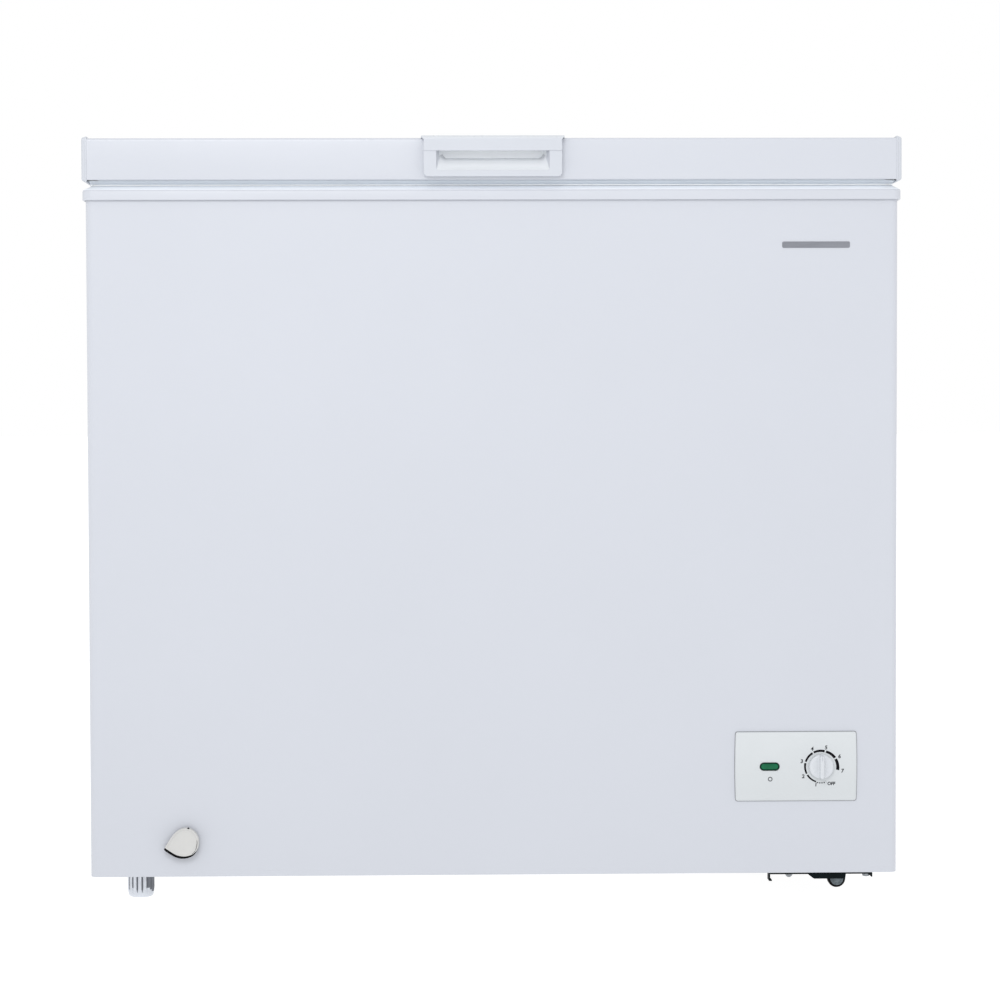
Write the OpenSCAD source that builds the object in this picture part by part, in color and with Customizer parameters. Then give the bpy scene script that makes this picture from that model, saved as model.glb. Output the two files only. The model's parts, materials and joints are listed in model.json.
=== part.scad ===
/* [Cabinet] */
// Width of the steel cabinet
body_w = 898; // [890:1:906]
// Depth of the steel cabinet
body_d = 500; // [498:1:502]
// Height of the rim's top face above the floor
rim_z = 796; // [790:1:797]
// Clear height under the cabinet
floor_gap = 31; // [31:1:33]
// Thickness of the insulated walls, skin and liner included
wall = 55; // [52:1:58]
// Height of the compressor bay's roof above the floor
bay_roof_z = 275; // [265:1:285]
// Left side of the compressor bay
bay_x = 262; // [250:1:262]

/* [Lid] */
// How far the lid and rim stand out past the cabinet on each side
overhang = 3.5; // [3:0.5:4]
// Height of the lid, from its lower edge to its top sheet
lid_h = 46; // [44:1:46]
// Gap between rim and lid, which the gasket fills
gasket_h = 6; // [5.5:0.5:6.5]
// Width of each plastic cap at the ends of the lid
cap_w = 6; // [5:0.5:7]

/* [Handle] */
// Width of the handle's front
handle_w = 152; // [140:2:160]
// Width of the finger recess
recess_w = 125; // [110:1:130]

/* [Controls] */
// Centre of the control panel, to the right of the middle
panel_x = 335.7; // [334:0.1:337]
// Centre of the control panel above the floor
panel_z = 150.5; // [146:0.5:152]
// Width of the control panel
panel_w = 136; // [130:1:138]
// Height of the control panel
panel_h = 77; // [74:1:80]
// Radius of the thermostat knob
knob_r = 15; // [14:0.5:16]

/* [Feet and rollers] */
// Distance of feet and rollers from the middle, to each side
stance_x = 399; // [397:1:401]
// Radius of the levelling feet
foot_r = 15; // [14:0.5:16]
// Radius of the rollers
roller_r = 10.2; // [10:0.1:10.2]

/* [Basket] */
// Width of the wire basket
basket_w = 226; // [200:2:240]
// Height of the wire basket
basket_h = 190; // [160:5:200]

/* [Hidden] */
$fn = 64;

white = [0.93, 0.94, 0.96];
soft_white = [0.88, 0.89, 0.90];
grey = [0.55, 0.57, 0.59];
black = [0.06, 0.06, 0.07];
copper = [0.72, 0.45, 0.30];
zinc = [0.72, 0.73, 0.74];

// Cabinet, in the frame whose origin is on the floor under the middle of the whole freezer
body_y = -10;
front_y = body_y - body_d / 2;
back_y = body_y + body_d / 2;
skin_t = 1;
corner_r = 8;
fold_x = body_w / 2 - 19;
skin_top_z = rim_z - 9;
foam_low_z = floor_gap + 2;
foam_top_z = rim_z - 16;

// Tank inside the liner
liner_t = 1;
tank_w = body_w - 2 * wall;
tank_d = body_d - 2 * wall;
tank_r = 25;
tank_floor_z = floor_gap + wall;
step_x = bay_x - wall;
step_z = bay_roof_z + wall;
tank_front_y = body_y - tank_d / 2;
tank_back_y = body_y + tank_d / 2;
ledge_z = rim_z - 11;

// Rim and lid
lid_w = body_w + 2 * overhang;
lid_d = body_d + 2 * overhang;
lid_z = rim_z + gasket_h;
lid_top_z = lid_z + lid_h;
lid_front_y = body_y - lid_d / 2;
lid_back_y = body_y + lid_d / 2;
lid_skin_t = 1.2;
lid_fold = 12.5;
rim_t = 2.5;
rim_bevel_h = 7;
rim_bevel_w = 10;
lid_recess_w = tank_w + 32;
lid_recess_d = tank_d + 40;
lid_recess_h = 8;
lid_liner_t = 2;
gasket_clearance = 0.3;

// Handle
handle_front_y = -275;
handle_top_z = lid_top_z + 2;
handle_low_z = lid_z + 3;
hood_low_z = lid_top_z - 14.9;
hood_lip_t = 3.5;
recess_low_z = lid_z + 9.6;
cup_back_y = lid_front_y + 27;
cup_wall = 3.5;
cup_top_z = lid_top_z - 2;

// Controls
panel_t = 3;
panel_face_y = front_y - panel_t;
knob_x = panel_x + 27.8;
knob_gap = 0.4;
lamp_x = panel_x - 29.5;
shaft_r = 3;

// Drain
drain_x = -345;
drain_z = 71.6;
drain_y = front_y + 85;
drain_bore = 7.5;
drain_tube_r = 10;
spout_r = 7.4;

// Feet and rollers
foot_y = [-203, 196];
foot_cap_h = 30.4;
foot_travel = 10;
stud_r = 5;
running = 0.05;
plate_x = [306, 422];
plate_y = [front_y + 2.5, back_y - 8];
ear_y = plate_y[0] + 14;
plate_t = 2;
roller_x = stance_x - 5.8;
roller_y = [-173, 178];
roller_w = 9;
axle_r = 3;
fork_t = 1.5;

// Compressor
comp_x = 364;
comp_y = 62;
comp_r = 64;
comp_z = 50.5;
comp_seam_z = 125;
comp_top_z = 200;
comp_feet = [[-43, -84], [43, -84], [-43, 84], [43, 84]];

// Rear cover of the compressor bay
cover_x = [266, 426];
cover_z = [38, 268];
gland_x = 292;
gland_z = 62;

// Pipe runs in the foam
coil_z = [for (i = [0:7]) 100 + 90 * i];
coil_turn_x = 230;
coil_y = back_y - 4;
evap_low_z = [for (i = [0:3]) 120 + 55 * i];
evap_high_z = [for (i = [0:7]) 365 + 55 * i];
evap_gap = 5;
evap_left = -tank_w / 2 - evap_gap;
evap_right = tank_w / 2 + evap_gap;
evap_step = step_x + evap_gap;
evap_front = tank_front_y - evap_gap;
evap_turn_y = 165;
suction_x = 350;
suction_y = 204;

// Hinges
hinge_x = 300;
hinge_y = 262;
hinge_z = lid_z + 9;
pin_r = 4;
cheek_x = 20;
cheek_t = 2;
cam_r = 13;
cam_angle = 80;
cam_rise = 4;
cam_slope = cam_rise / (cam_angle * PI / 180);
seat_z = hinge_z - 112;
plunger_z = hinge_z - 36;
plunger_top_z = hinge_z - cam_r - 0.3;
spring_y = 258;
hinge_screws = [for (x = [-12, 12], z = [-100, -44]) [x, z]];

// Basket, hung on the rim's ledge
basket_x = 230;
basket_d = 376;
basket_low_z = 598;
basket_wire = 4;
mesh_wire = 2.2;
hook_reach = 11;

// ---------------------------------------------------------------- helpers

// Rectangle with round corners, centred
module rounded(w, d, r) {
    square([w - 2 * r, d], center = true);
    square([w, d - 2 * r], center = true);
    for (sx = [-1, 1], sy = [-1, 1])
        translate([sx * (w / 2 - r), sy * (d / 2 - r)]) circle(r = r);
}

// Upright prism of a rounded rectangle on the cabinet's middle, from z0 to z1
module block(w, d, r, z0, z1) {
    translate([0, body_y, z0]) linear_extrude(z1 - z0) rounded(w, d, r);
}

// Box given by its low and high corners
module box(low, high) {
    translate(low) cube(high - low);
}

// Outline drawn in x and z, given thickness from y0 back to y1
module upright(y0, y1) {
    translate([0, y1, 0]) rotate([90, 0, 0]) linear_extrude(y1 - y0) children();
}

// Outline drawn in y and z, given thickness from x0 to x1
module sideways(x0, x1) {
    translate([x0, 0, 0]) rotate([90, 0, 90]) linear_extrude(x1 - x0) children();
}

// Rod along y
module rod_y(x, z, r, y0, y1) {
    translate([x, y1, z]) rotate([90, 0, 0]) cylinder(h = y1 - y0, r = r);
}

// Rod along x
module rod_x(y, z, r, x0, x1) {
    translate([x0, y, z]) rotate([0, 90, 0]) cylinder(h = x1 - x0, r = r);
}

// Rod along z
module rod_z(x, y, r, z0, z1) {
    translate([x, y, z0]) cylinder(h = z1 - z0, r = r);
}

// Rounded slab whose sides lean in by c over its height h
module leaning_slab(w, d, h, r, c) {
    for (sx = [-1, 1], sy = [-1, 1])
        translate([sx * (w / 2 - r), sy * (d / 2 - r), 0]) cylinder(h = h, r1 = r, r2 = r - c);
    rotate([90, 0, 90]) linear_extrude(w - 2 * r, center = true)
        polygon([[-d / 2, 0], [d / 2, 0], [d / 2 - c, h], [-d / 2 + c, h]]);
    rotate([90, 0, 0]) linear_extrude(d - 2 * r, center = true)
        polygon([[-w / 2, 0], [w / 2, 0], [w / 2 - c, h], [-w / 2 + c, h]]);
}

// Pan-head screw, head at the origin, driven along -z
module screw(r = 2, length = 6, head_r = 3.8, head_h = 2) {
    difference() {
        union() {
            cylinder(h = head_h, r = head_r);
            translate([0, 0, -length]) cylinder(h = length, r = r);
        }
        for (turn = [0, 90])
            rotate(turn) translate([-2, -0.4, head_h - 1]) cube([4, 0.8, 2]);
    }
}

function unit(v) = v / norm(v);

// Points of a path with each corner eased over a distance r
function eased(p, r, n = 4) = [
    p[0],
    for (i = [1:len(p) - 2])
        let (a = p[i] + unit(p[i - 1] - p[i]) * r, b = p[i] + unit(p[i + 1] - p[i]) * r)
            for (k = [0:n])
                let (t = k / n) (1 - t) * (1 - t) * a + 2 * t * (1 - t) * p[i] + t * t * b,
    p[len(p) - 1]
];

function tangents(p) = [
    for (i = [0:len(p) - 1]) unit(p[min(i + 1, len(p) - 1)] - p[max(i - 1, 0)])
];

function side_of(t) = unit(cross(t, abs(t.z) < 0.9 ? [0, 0, 1] : [1, 0, 0]));

function normals(t) = [
    for (i = 0, n = side_of(t[0]);
        i < len(t);
        i = i + 1, n = i < len(t) ? unit(n - (n * t[i]) * t[i]) : n) n
];

// Round tube swept along a path of points
module tube(path, r, sides = 8) {
    t = tangents(path);
    n = normals(t);
    rings = len(path);
    points = [
        for (i = [0:rings - 1], k = [0:sides - 1])
            path[i] + r * (cos(360 * k / sides) * n[i] + sin(360 * k / sides) * cross(t[i], n[i]))
    ];
    walls = [
        for (i = [0:rings - 2], k = [0:sides - 1])
            let (a = i * sides + k, b = i * sides + (k + 1) % sides)
                each [[a, a + sides, b], [b, a + sides, b + sides]]
    ];
    near_end = [for (k = [0:sides - 1]) k];
    far_end = [for (k = [sides - 1:-1:0]) (rings - 1) * sides + k];
    polyhedron(points = points, faces = concat(walls, [near_end, far_end]));
}

// ---------------------------------------------------------------- cabinet

// Painted steel skin: front, both sides, folded rear corners and the return fold underneath
module outer_wrap() {
    color(white) difference() {
        union() {
            difference() {
                block(body_w, body_d, corner_r, floor_gap, skin_top_z);
                block(body_w - 2 * skin_t, body_d - 2 * skin_t, corner_r - skin_t, floor_gap - 1, rim_z);
            }
            difference() {
                block(body_w - skin_t, body_d - skin_t, corner_r - skin_t, floor_gap, floor_gap + skin_t);
                block(body_w - 48, body_d - 48, 4, floor_gap - 1, floor_gap + 2);
            }
        }
        box([-fold_x, back_y - 5, floor_gap - 1], [fold_x, back_y + 1, rim_z]);
        box([panel_x - 63, front_y - 1, panel_z - 34], [panel_x + 63, front_y + 2, panel_z + 34]);
        rod_y(drain_x, drain_z, 13, front_y - 1, front_y + 2);
        base_bolt_holes();
    }
}

// Flat rear sheet, with the window of the compressor bay
module rear_panel() {
    color(white) difference() {
        box([-fold_x, back_y - 1, floor_gap + 1], [fold_x, back_y, skin_top_z]);
        box([cover_x[0] + 12, back_y - 3, floor_gap + 14], [cover_x[1] - 12, back_y + 1, bay_roof_z - 14]);
        rear_screw_holes();
    }
}

module base_pan() {
    color(zinc) difference() {
        box([3.5 - body_w / 2, front_y + 3.5, floor_gap + 1], [bay_x, back_y - 3.5, floor_gap + 2]);
        for (y = foot_y)
            rod_z(-stance_x, y, 10, floor_gap, floor_gap + 3);
    }
}

// Bent sheet that makes the bay's left wall and roof
module bay_partition() {
    z = bay_roof_z;
    right = body_w / 2 - 3.5;
    color(zinc) difference() {
        upright(front_y + 3.5, back_y - 3.5)
            polygon([[bay_x, floor_gap + 1], [bay_x + 1, floor_gap + 1], [bay_x + 1, z - 1],
                [right, z - 1], [right, z], [bay_x, z]]);
        box([bay_x - 1, coil_y - 6, coil_z[0] - 6], [bay_x + 2, back_y, coil_z[0] + 6]);
        rod_x(suction_y, evap_low_z[0], 6, bay_x - 1, bay_x + 2);
        box([404, coil_y - 6, z - 2], [416, back_y, z + 1]);
        rod_z(suction_x, suction_y, 7, z - 2, z + 1);
    }
}

// What the tank takes out of the foam, up to a height; grow is the liner's thickness
module tank_space(grow, top) {
    w = tank_w + 2 * grow;
    d = tank_d + 2 * grow;
    r = tank_r + grow;
    left = -w / 2;
    right = step_x - liner_t + grow;
    block(w, d, r, step_z - grow, top);
    translate([(left + right) / 2, body_y, tank_floor_z - grow])
        linear_extrude(step_z - tank_floor_z + 20) rounded(right - left, d, r);
}

// Foamed-in insulation between skin and liner, grooved for both pipe runs
module foam_insulation() {
    color([0.93, 0.86, 0.62]) difference() {
        block(body_w - 2 * skin_t, body_d - 2 * skin_t, corner_r - skin_t, foam_low_z, foam_top_z);
        tank_space(liner_t, rim_z);
        box([bay_x, front_y, floor_gap], [body_w / 2, back_y, bay_roof_z]);
        condenser_grooves();
        evaporator_grooves();
        rod_z(drain_x, drain_y, drain_tube_r, drain_z, tank_floor_z);
        rod_y(drain_x, drain_z, drain_tube_r, front_y, drain_y + drain_tube_r);
        rod_y(drain_x, drain_z, 13, front_y, front_y + 6);
        for (y = foot_y) {
            box([-stance_x - 18, y - 18, floor_gap], [18 - stance_x, y + 18, foam_low_z + 2]);
            rod_z(-stance_x, y, 9, floor_gap, foam_low_z + 34);
        }
        rear_screw_holes();
    }
}

// Embossed aluminium tank with its step over the compressor bay
module inner_liner() {
    color([0.80, 0.81, 0.83]) difference() {
        union() {
            tank_space(liner_t, ledge_z - rim_t);
            block(tank_w + 20, tank_d + 20, tank_r + 10, ledge_z - rim_t - 1, ledge_z - rim_t);
        }
        tank_space(0, rim_z);
        rod_z(drain_x, drain_y, drain_bore, tank_floor_z - 2, tank_floor_z + 1);
    }
}

// Moulded rim: outer skirt, bevel, seat for the gasket, ledge for the basket and inner skirt
module top_frame() {
    r = corner_r + overhang;
    bevel_z = rim_z - rim_bevel_h;
    color(white) difference() {
        union() {
            difference() {
                union() {
                    block(lid_w, lid_d, r, foam_top_z, bevel_z);
                    translate([0, body_y, bevel_z]) leaning_slab(lid_w, lid_d, rim_bevel_h, r, rim_bevel_w);
                }
                block(lid_w - 2 * rim_t, lid_d - 2 * rim_t, r - rim_t, foam_top_z - 1, bevel_z - 1.5);
                translate([0, body_y, bevel_z - 1.5])
                    leaning_slab(lid_w - 2 * rim_t, lid_d - 2 * rim_t, rim_bevel_h - 1, r - rim_t,
                        rim_bevel_w - 2);
            }
            block(tank_w + 28, tank_d + 28, tank_r + 14, ledge_z - rim_t, rim_z - rim_t);
            block(tank_w, tank_d, tank_r, ledge_z - 16, ledge_z - rim_t);
        }
        block(tank_w + 23, tank_d + 23, tank_r + 11.5, ledge_z, rim_z + 1);
        block(tank_w - 5, tank_d - 5, tank_r - rim_t, ledge_z - 17, rim_z + 1);
    }
}

// Warm pipe under the left and rear skin, coming from the compressor and going back to the drier
function condenser_path() =
    let (xl = 5 - body_w / 2, yf = front_y + 22)
    concat([[bay_x + 38, coil_y, coil_z[0]]],
        [for (i = [0:7]) each i % 2 == 0
            ? [[xl, coil_y, coil_z[i]], [xl, yf, coil_z[i]]]
            : [[xl, yf, coil_z[i]], [xl, coil_y, coil_z[i]],
                [i == 7 ? 410 : coil_turn_x, coil_y, coil_z[i]],
                if (i < 7) [coil_turn_x, coil_y, coil_z[i + 1]]]],
        [[410, coil_y, 150]]);

module condenser_coil() {
    color(copper) tube(eased(condenser_path(), 14), 2.4);
}

module condenser_grooves() {
    h = 3.4;
    deep = 10 - body_w / 2;
    for (z = coil_z) {
        box([-body_w / 2, coil_y - 4, z - h], [z == coil_z[7] ? 424 : coil_turn_x + 4, back_y, z + h]);
        box([-body_w / 2, front_y + 18, z - h], [deep, back_y, z + h]);
        box([-body_w / 2, coil_y - 12, z - h], [deep + 12, back_y, z + h]);
    }
    for (i = [0, 2, 4, 6])
        box([-body_w / 2, front_y + 16, coil_z[i] - h], [deep, front_y + 30, coil_z[i + 1] + h]);
    for (i = [1, 3, 5])
        box([coil_turn_x - 8, coil_y - 4, coil_z[i] - h], [coil_turn_x + 5, back_y, coil_z[i + 1] + h]);
    box([403, coil_y - 4, bay_roof_z - 1], [416, back_y, coil_z[7] + h]);
    box([coil_turn_x, coil_y - 4, coil_z[0] - h], [bay_x + 1, back_y, coil_z[0] + h]);
}

// Cold pipe against the liner, up and round three of its walls, then down to the compressor
function evaporator_path() =
    let (y = evap_turn_y)
    concat([[bay_x + 30, suction_y, evap_low_z[0]], [evap_step, suction_y, evap_low_z[0]]],
        [for (i = [0:3]) each i % 2 == 0
            ? [if (i > 0) [evap_step, y, evap_low_z[i]], [evap_step, evap_front, evap_low_z[i]],
                [evap_left, evap_front, evap_low_z[i]], [evap_left, y, evap_low_z[i]]]
            : [[evap_left, y, evap_low_z[i]], [evap_left, evap_front, evap_low_z[i]],
                [evap_step, evap_front, evap_low_z[i]], [evap_step, y, evap_low_z[i]]]],
        [[evap_step, y, evap_low_z[3] + 22], [evap_right, y, evap_low_z[3] + 22]],
        [for (i = [0:7]) each i % 2 == 0
            ? [[evap_right, y, evap_high_z[i]], [evap_right, evap_front, evap_high_z[i]],
                [evap_left, evap_front, evap_high_z[i]], [evap_left, y, evap_high_z[i]]]
            : [[evap_left, y, evap_high_z[i]], [evap_left, evap_front, evap_high_z[i]],
                [evap_right, evap_front, evap_high_z[i]],
                [evap_right, i == 7 ? suction_y : y, evap_high_z[i]]]],
        [[suction_x, suction_y, evap_high_z[7]], [suction_x, suction_y, bay_roof_z - 35]]);

module evaporator_coil() {
    color([0.78, 0.79, 0.80]) tube(eased(evaporator_path(), 10), 3);
}

module evaporator_grooves() {
    h = 4;
    g = 9.5;
    low_w = step_x - liner_t + tank_w / 2 + 2 * g;
    for (z = evap_low_z)
        translate([(step_x - liner_t - tank_w / 2) / 2, body_y, z - h])
            linear_extrude(2 * h) rounded(low_w, tank_d + 2 * g, 6);
    for (z = evap_high_z)
        block(tank_w + 2 * g, tank_d + 2 * g, 6, z - h, z + h);
    for (i = [0, 2])
        evaporator_rise(evap_left, evap_low_z[i], evap_low_z[i + 1]);
    evaporator_rise(evap_step, evap_low_z[1], evap_low_z[2]);
    evaporator_rise(evap_step, evap_low_z[3], evap_low_z[3] + 22);
    box([evap_step - h, evap_turn_y - h, evap_low_z[3] + 18],
        [evap_right + h, evap_turn_y + h, evap_low_z[3] + 26]);
    evaporator_rise(evap_right, evap_low_z[3] + 22, evap_high_z[0]);
    for (i = [0, 2, 4, 6])
        evaporator_rise(evap_left, evap_high_z[i], evap_high_z[i + 1]);
    for (i = [1, 3, 5])
        evaporator_rise(evap_right, evap_high_z[i], evap_high_z[i + 1]);
    box([evap_step - h, 150, evap_low_z[0] - h], [evap_step + h, suction_y + h, evap_low_z[0] + h]);
    box([evap_step - h, suction_y - h, evap_low_z[0] - h], [bay_x + 1, suction_y + h, evap_low_z[0] + h]);
    box([evap_right - h, 150, evap_high_z[7] - h], [evap_right + h, suction_y + h, evap_high_z[7] + h]);
    box([suction_x - h, suction_y - h, evap_high_z[7] - h],
        [evap_right + h, suction_y + h, evap_high_z[7] + h]);
    box([suction_x - h, suction_y - h, bay_roof_z - 1],
        [suction_x + h, suction_y + h, evap_high_z[7] + h]);
}

module evaporator_rise(x, z0, z1) {
    box([x - 4, evap_turn_y - 11, z0 - 4], [x + 4, evap_turn_y + 4, z1 + 4]);
}

// ---------------------------------------------------------------- drain

module drain_pipe() {
    color(soft_white) difference() {
        union() {
            rod_z(drain_x, drain_y, drain_tube_r, drain_z, tank_floor_z - liner_t);
            rod_y(drain_x, drain_z, drain_tube_r, front_y + 6, drain_y + drain_tube_r);
        }
        rod_z(drain_x, drain_y, drain_bore, drain_z, tank_floor_z);
        rod_y(drain_x, drain_z, drain_bore, front_y, drain_y + drain_bore);
    }
}

module drain_outlet() {
    color(soft_white) difference() {
        union() {
            rod_y(drain_x, drain_z, 13, front_y, front_y + 6);
            rod_y(drain_x, drain_z, 15.5, front_y - 2, front_y);
        }
        rod_y(drain_x, drain_z, drain_bore, front_y - 3, front_y + 7);
    }
}

// Rubber stopper in the tank's floor
module drain_plug() {
    z = tank_floor_z + 0.2;
    color(grey) {
        rod_z(drain_x, drain_y, drain_bore - 0.1, z - 9, z);
        rod_z(drain_x, drain_y, 13, z, z + 3);
        rod_z(drain_x, drain_y, 5, z + 3, z + 9);
        rod_z(drain_x, drain_y, 8, z + 9, z + 12);
    }
}

// Tube that pulls out of the front to drain the tank
module drain_spout() {
    color(soft_white) difference() {
        rod_y(drain_x, drain_z, spout_r, front_y - 2, front_y + 60);
        rod_y(drain_x, drain_z, 5, front_y - 3, front_y + 61);
        rod_z(drain_x, front_y + 50, 3.5, drain_z - 10, drain_z + 10);
    }
}

// Outline of the drain's cap: round below and at the right, drawn out to a tip at the lower left
cap_outline = let (p = [[-20.3, -6.5], [-16.5, -9.6], [-10.5, -13.4], [-6, -15.4], [-0.8, -16.4], [5, -16],
    [10.6, -13.9], [14.6, -10.2], [16.7, -5.6], [17.2, 0], [16.6, 4.6], [14.4, 9], [10.8, 12.6],
    [6.8, 14.6], [2.2, 15.2], [-1.8, 14.2], [-4.8, 11.6], [-8.9, 6.4], [-12.6, 1.4], [-16.4, -2.8]])
    p;

// Cap with a pointer tip, which turns on the spout to open it
module drain_dial() {
    y = front_y - 2.3;
    color(white) difference() {
        union() {
            upright(y - 9, y) {
                translate([drain_x, drain_z]) polygon(cap_outline);
            }
            rod_y(drain_x, drain_z, 4.95, y, y + 14);
        }
        rod_y(drain_x, drain_z, 3, y, y + 15);
    }
}

// ---------------------------------------------------------------- controls

module capsule(w, h) {
    square([w - h, h], center = true);
    for (s = [-1, 1])
        translate([s * (w - h) / 2, 0]) circle(r = h / 2);
}

module control_panel() {
    color(white) difference() {
        union() {
            upright(panel_face_y, front_y) translate([panel_x, panel_z]) rounded(panel_w, panel_h, 2.5);
            difference() {
                box([panel_x - 62, front_y, panel_z - 33], [panel_x + 62, front_y + 12, panel_z + 33]);
                box([panel_x - 60, front_y - 1, panel_z - 31], [panel_x + 60, front_y + 13, panel_z + 31]);
            }
        }
        upright(panel_face_y - 1, front_y + 1) translate([lamp_x, panel_z]) capsule(22, 9);
        rod_y(knob_x, panel_z, 5, panel_face_y - 1, front_y + 1);
    }
}

// Switch body behind the panel, with the bore its shaft turns in
module thermostat() {
    color(grey) difference() {
        union() {
            box([knob_x - 18, front_y + 6, panel_z - 16], [knob_x + 18, front_y + 34, panel_z + 16]);
            rod_y(knob_x, panel_z, 8, front_y, front_y + 6);
        }
        rod_y(knob_x, panel_z, shaft_r + running, front_y - 1, front_y + 14);
    }
}

module thermostat_shaft() {
    color(zinc) rod_y(knob_x, panel_z, shaft_r, panel_face_y - 7, front_y + 12);
}

// Knob with a bevelled skirt and a raised grip; a small notch marks its pointer
module thermostat_knob() {
    y1 = panel_face_y - knob_gap;
    y0 = handle_front_y;
    color(white) difference() {
        union() {
            translate([knob_x, y1, panel_z]) rotate([90, 0, 0]) {
                cylinder(h = 4, r = knob_r);
                translate([0, 0, 4]) cylinder(h = 1.5, r1 = knob_r, r2 = knob_r - 1.5);
            }
            box([knob_x - 2.6, y0, panel_z - knob_r + 1.6], [knob_x + 2.6, y1 - 4, panel_z + knob_r - 1.6]);
        }
        rod_y(knob_x, panel_z, shaft_r, panel_face_y - 7, y1 + 1);
        box([knob_x - 0.6, y0 - 1, panel_z + 8], [knob_x + 0.6, y0 + 0.6, panel_z + knob_r]);
    }
}

module indicator_lens() {
    color([0, 0.42, 0.25]) upright(panel_face_y - 0.8, front_y)
        translate([lamp_x, panel_z]) capsule(22, 9);
}

module indicator_lamp() {
    color([0.85, 0.9, 0.85]) {
        rod_y(lamp_x, panel_z, 3.5, front_y, front_y + 16);
        box([lamp_x - 6, front_y + 16, panel_z - 6], [lamp_x + 6, front_y + 24, panel_z + 6]);
    }
}

// Blank badge
module name_plate() {
    color(grey) upright(front_y - 0.6, front_y) translate([357.7, 730]) rounded(75, 7, 1.5);
}

// ---------------------------------------------------------------- feet and rollers

// Threaded holders for the levelling feet
module foot_brackets() {
    color(zinc) for (y = foot_y)
        difference() {
            union() {
                box([-stance_x - 18, y - 18, foam_low_z], [18 - stance_x, y + 18, foam_low_z + 2]);
                rod_z(-stance_x, y, 9, foam_low_z, foam_low_z + 34);
            }
            rod_z(-stance_x, y, stud_r + running, foam_low_z - 1, foam_low_z + 31);
        }
}

module foot_stud(y) {
    color(zinc) {
        rod_z(-stance_x, y, stud_r, foot_cap_h + 0.1, foot_cap_h + 32);
        rod_z(-stance_x, y, 3, 14, foot_cap_h + 0.1);
    }
}

// Fluted plastic foot that turns on the stud's stem
module foot_cap(y) {
    color(white) difference() {
        union() {
            rod_z(-stance_x, y, foot_r - 0.8, 2, foot_cap_h);
            translate([-stance_x, y, 0]) cylinder(h = 2, r1 = foot_r - 2.4, r2 = foot_r - 0.8);
            for (k = [0:15])
                translate([-stance_x, y, 2]) rotate(k * 22.5)
                    translate([foot_r - 1.4, -1.4, 0]) cube([1.4, 2.8, foot_cap_h - 4]);
        }
        rod_z(-stance_x, y, 3 + running, 13.9, foot_cap_h + 1);
    }
}

module foot_stud_front() {
    foot_stud(foot_y[0]);
}

module foot_cap_front() {
    foot_cap(foot_y[0]);
}

module foot_stud_rear() {
    foot_stud(foot_y[1]);
}

module foot_cap_rear() {
    foot_cap(foot_y[1]);
}

// Pressed steel plate across the bay's underside, with a folded edge and a stiffening rib
module base_plate() {
    top = floor_gap;
    low = floor_gap - plate_t;
    rib = [plate_x[0] + 43.6, plate_x[1] - 29.7];
    rib_y = plate_y[0] + 46;
    color(black) difference() {
        union() {
            box([plate_x[0], plate_y[0], low], [plate_x[1], plate_y[1], top]);
            box([plate_x[0], plate_y[0], low - 7.5], [plate_x[0] + 1.5, ear_y, low]);
            box([plate_x[0], plate_y[0], low - 7.5], [plate_x[0] + 3.5, ear_y, low - 6]);
            box([plate_x[1] - 1.5, plate_y[0], low - 3.5], [plate_x[1], ear_y, low]);
            upright(plate_y[0], rib_y)
                polygon([[rib[0], low], [rib[0] + 7, low - 5.2], [rib[1], low - 5.2], [rib[1], low]]);
        }
        upright(plate_y[0] + 1.5, rib_y - 1.5)
            polygon([[rib[0] + 2.5, top + 1], [rib[0] + 7.5, low - 3.7], [rib[1] - 1.5, low - 3.7],
                [rib[1] - 1.5, top + 1]]);
        base_bolt_holes();
        for (p = comp_feet)
            rod_z(comp_x + p.x, comp_y + p.y, 3, low - 1, top + 1);
    }
}

base_bolts_at = [for (x = [329.5, 416], y = [front_y + 11, back_y - 18]) [x, y]];

module base_bolt_holes() {
    for (p = base_bolts_at)
        rod_z(p.x, p.y, 3, floor_gap - 3, floor_gap + 2);
}

// Hex bolts of the base plate and the four that hold the compressor down
module base_bolts() {
    low = floor_gap - plate_t;
    color(zinc) {
        for (p = base_bolts_at) {
            translate([p.x, p.y, low - 4.6]) cylinder(h = 4.6, r1 = 3, r2 = 4.4, $fn = 6);
            rod_z(p.x, p.y, 3, low, floor_gap + 8);
        }
        for (p = comp_feet) {
            rod_z(comp_x + p.x, comp_y + p.y, 5.5, low - 2, low);
            rod_z(comp_x + p.x, comp_y + p.y, 3, low, comp_z + 12);
        }
    }
}

// Ears under the plate that carry the roller axles
module roller_forks() {
    top = floor_gap - plate_t;
    gap = roller_w / 2 + 0.5;
    color(zinc) for (y = roller_y)
        difference() {
            union() {
                for (s = [-1, 1])
                    upright(y + s * (gap + fork_t / 2) - fork_t / 2, y + s * (gap + fork_t / 2) + fork_t / 2) {
                        translate([roller_x, roller_r]) circle(r = 7.4);
                        translate([roller_x - 7.4, roller_r]) square([14.8, top - roller_r]);
                    }
                box([roller_x - 7.4, y - gap - fork_t, top - fork_t], [roller_x + 7.4, y + gap + fork_t, top]);
            }
            rod_y(roller_x, roller_r, axle_r, y - 20, y + 20);
        }
}

module roller_axles() {
    color(zinc) for (y = roller_y) {
        rod_y(roller_x, roller_r, axle_r, y - roller_w / 2 - 3.5, y + roller_w / 2 + 3.5);
        for (s = [-1, 1])
            rod_y(roller_x, roller_r, 4.2, y + s * (roller_w / 2 + 3) - 1, y + s * (roller_w / 2 + 3) + 1);
    }
}

module roller(y) {
    color(black) difference() {
        rod_y(roller_x, roller_r, roller_r, y - roller_w / 2, y + roller_w / 2);
        rod_y(roller_x, roller_r, axle_r + running, y - roller_w, y + roller_w);
    }
}

module roller_front() {
    roller(roller_y[0]);
}

module roller_rear() {
    roller(roller_y[1]);
}

// ---------------------------------------------------------------- cooling unit

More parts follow.
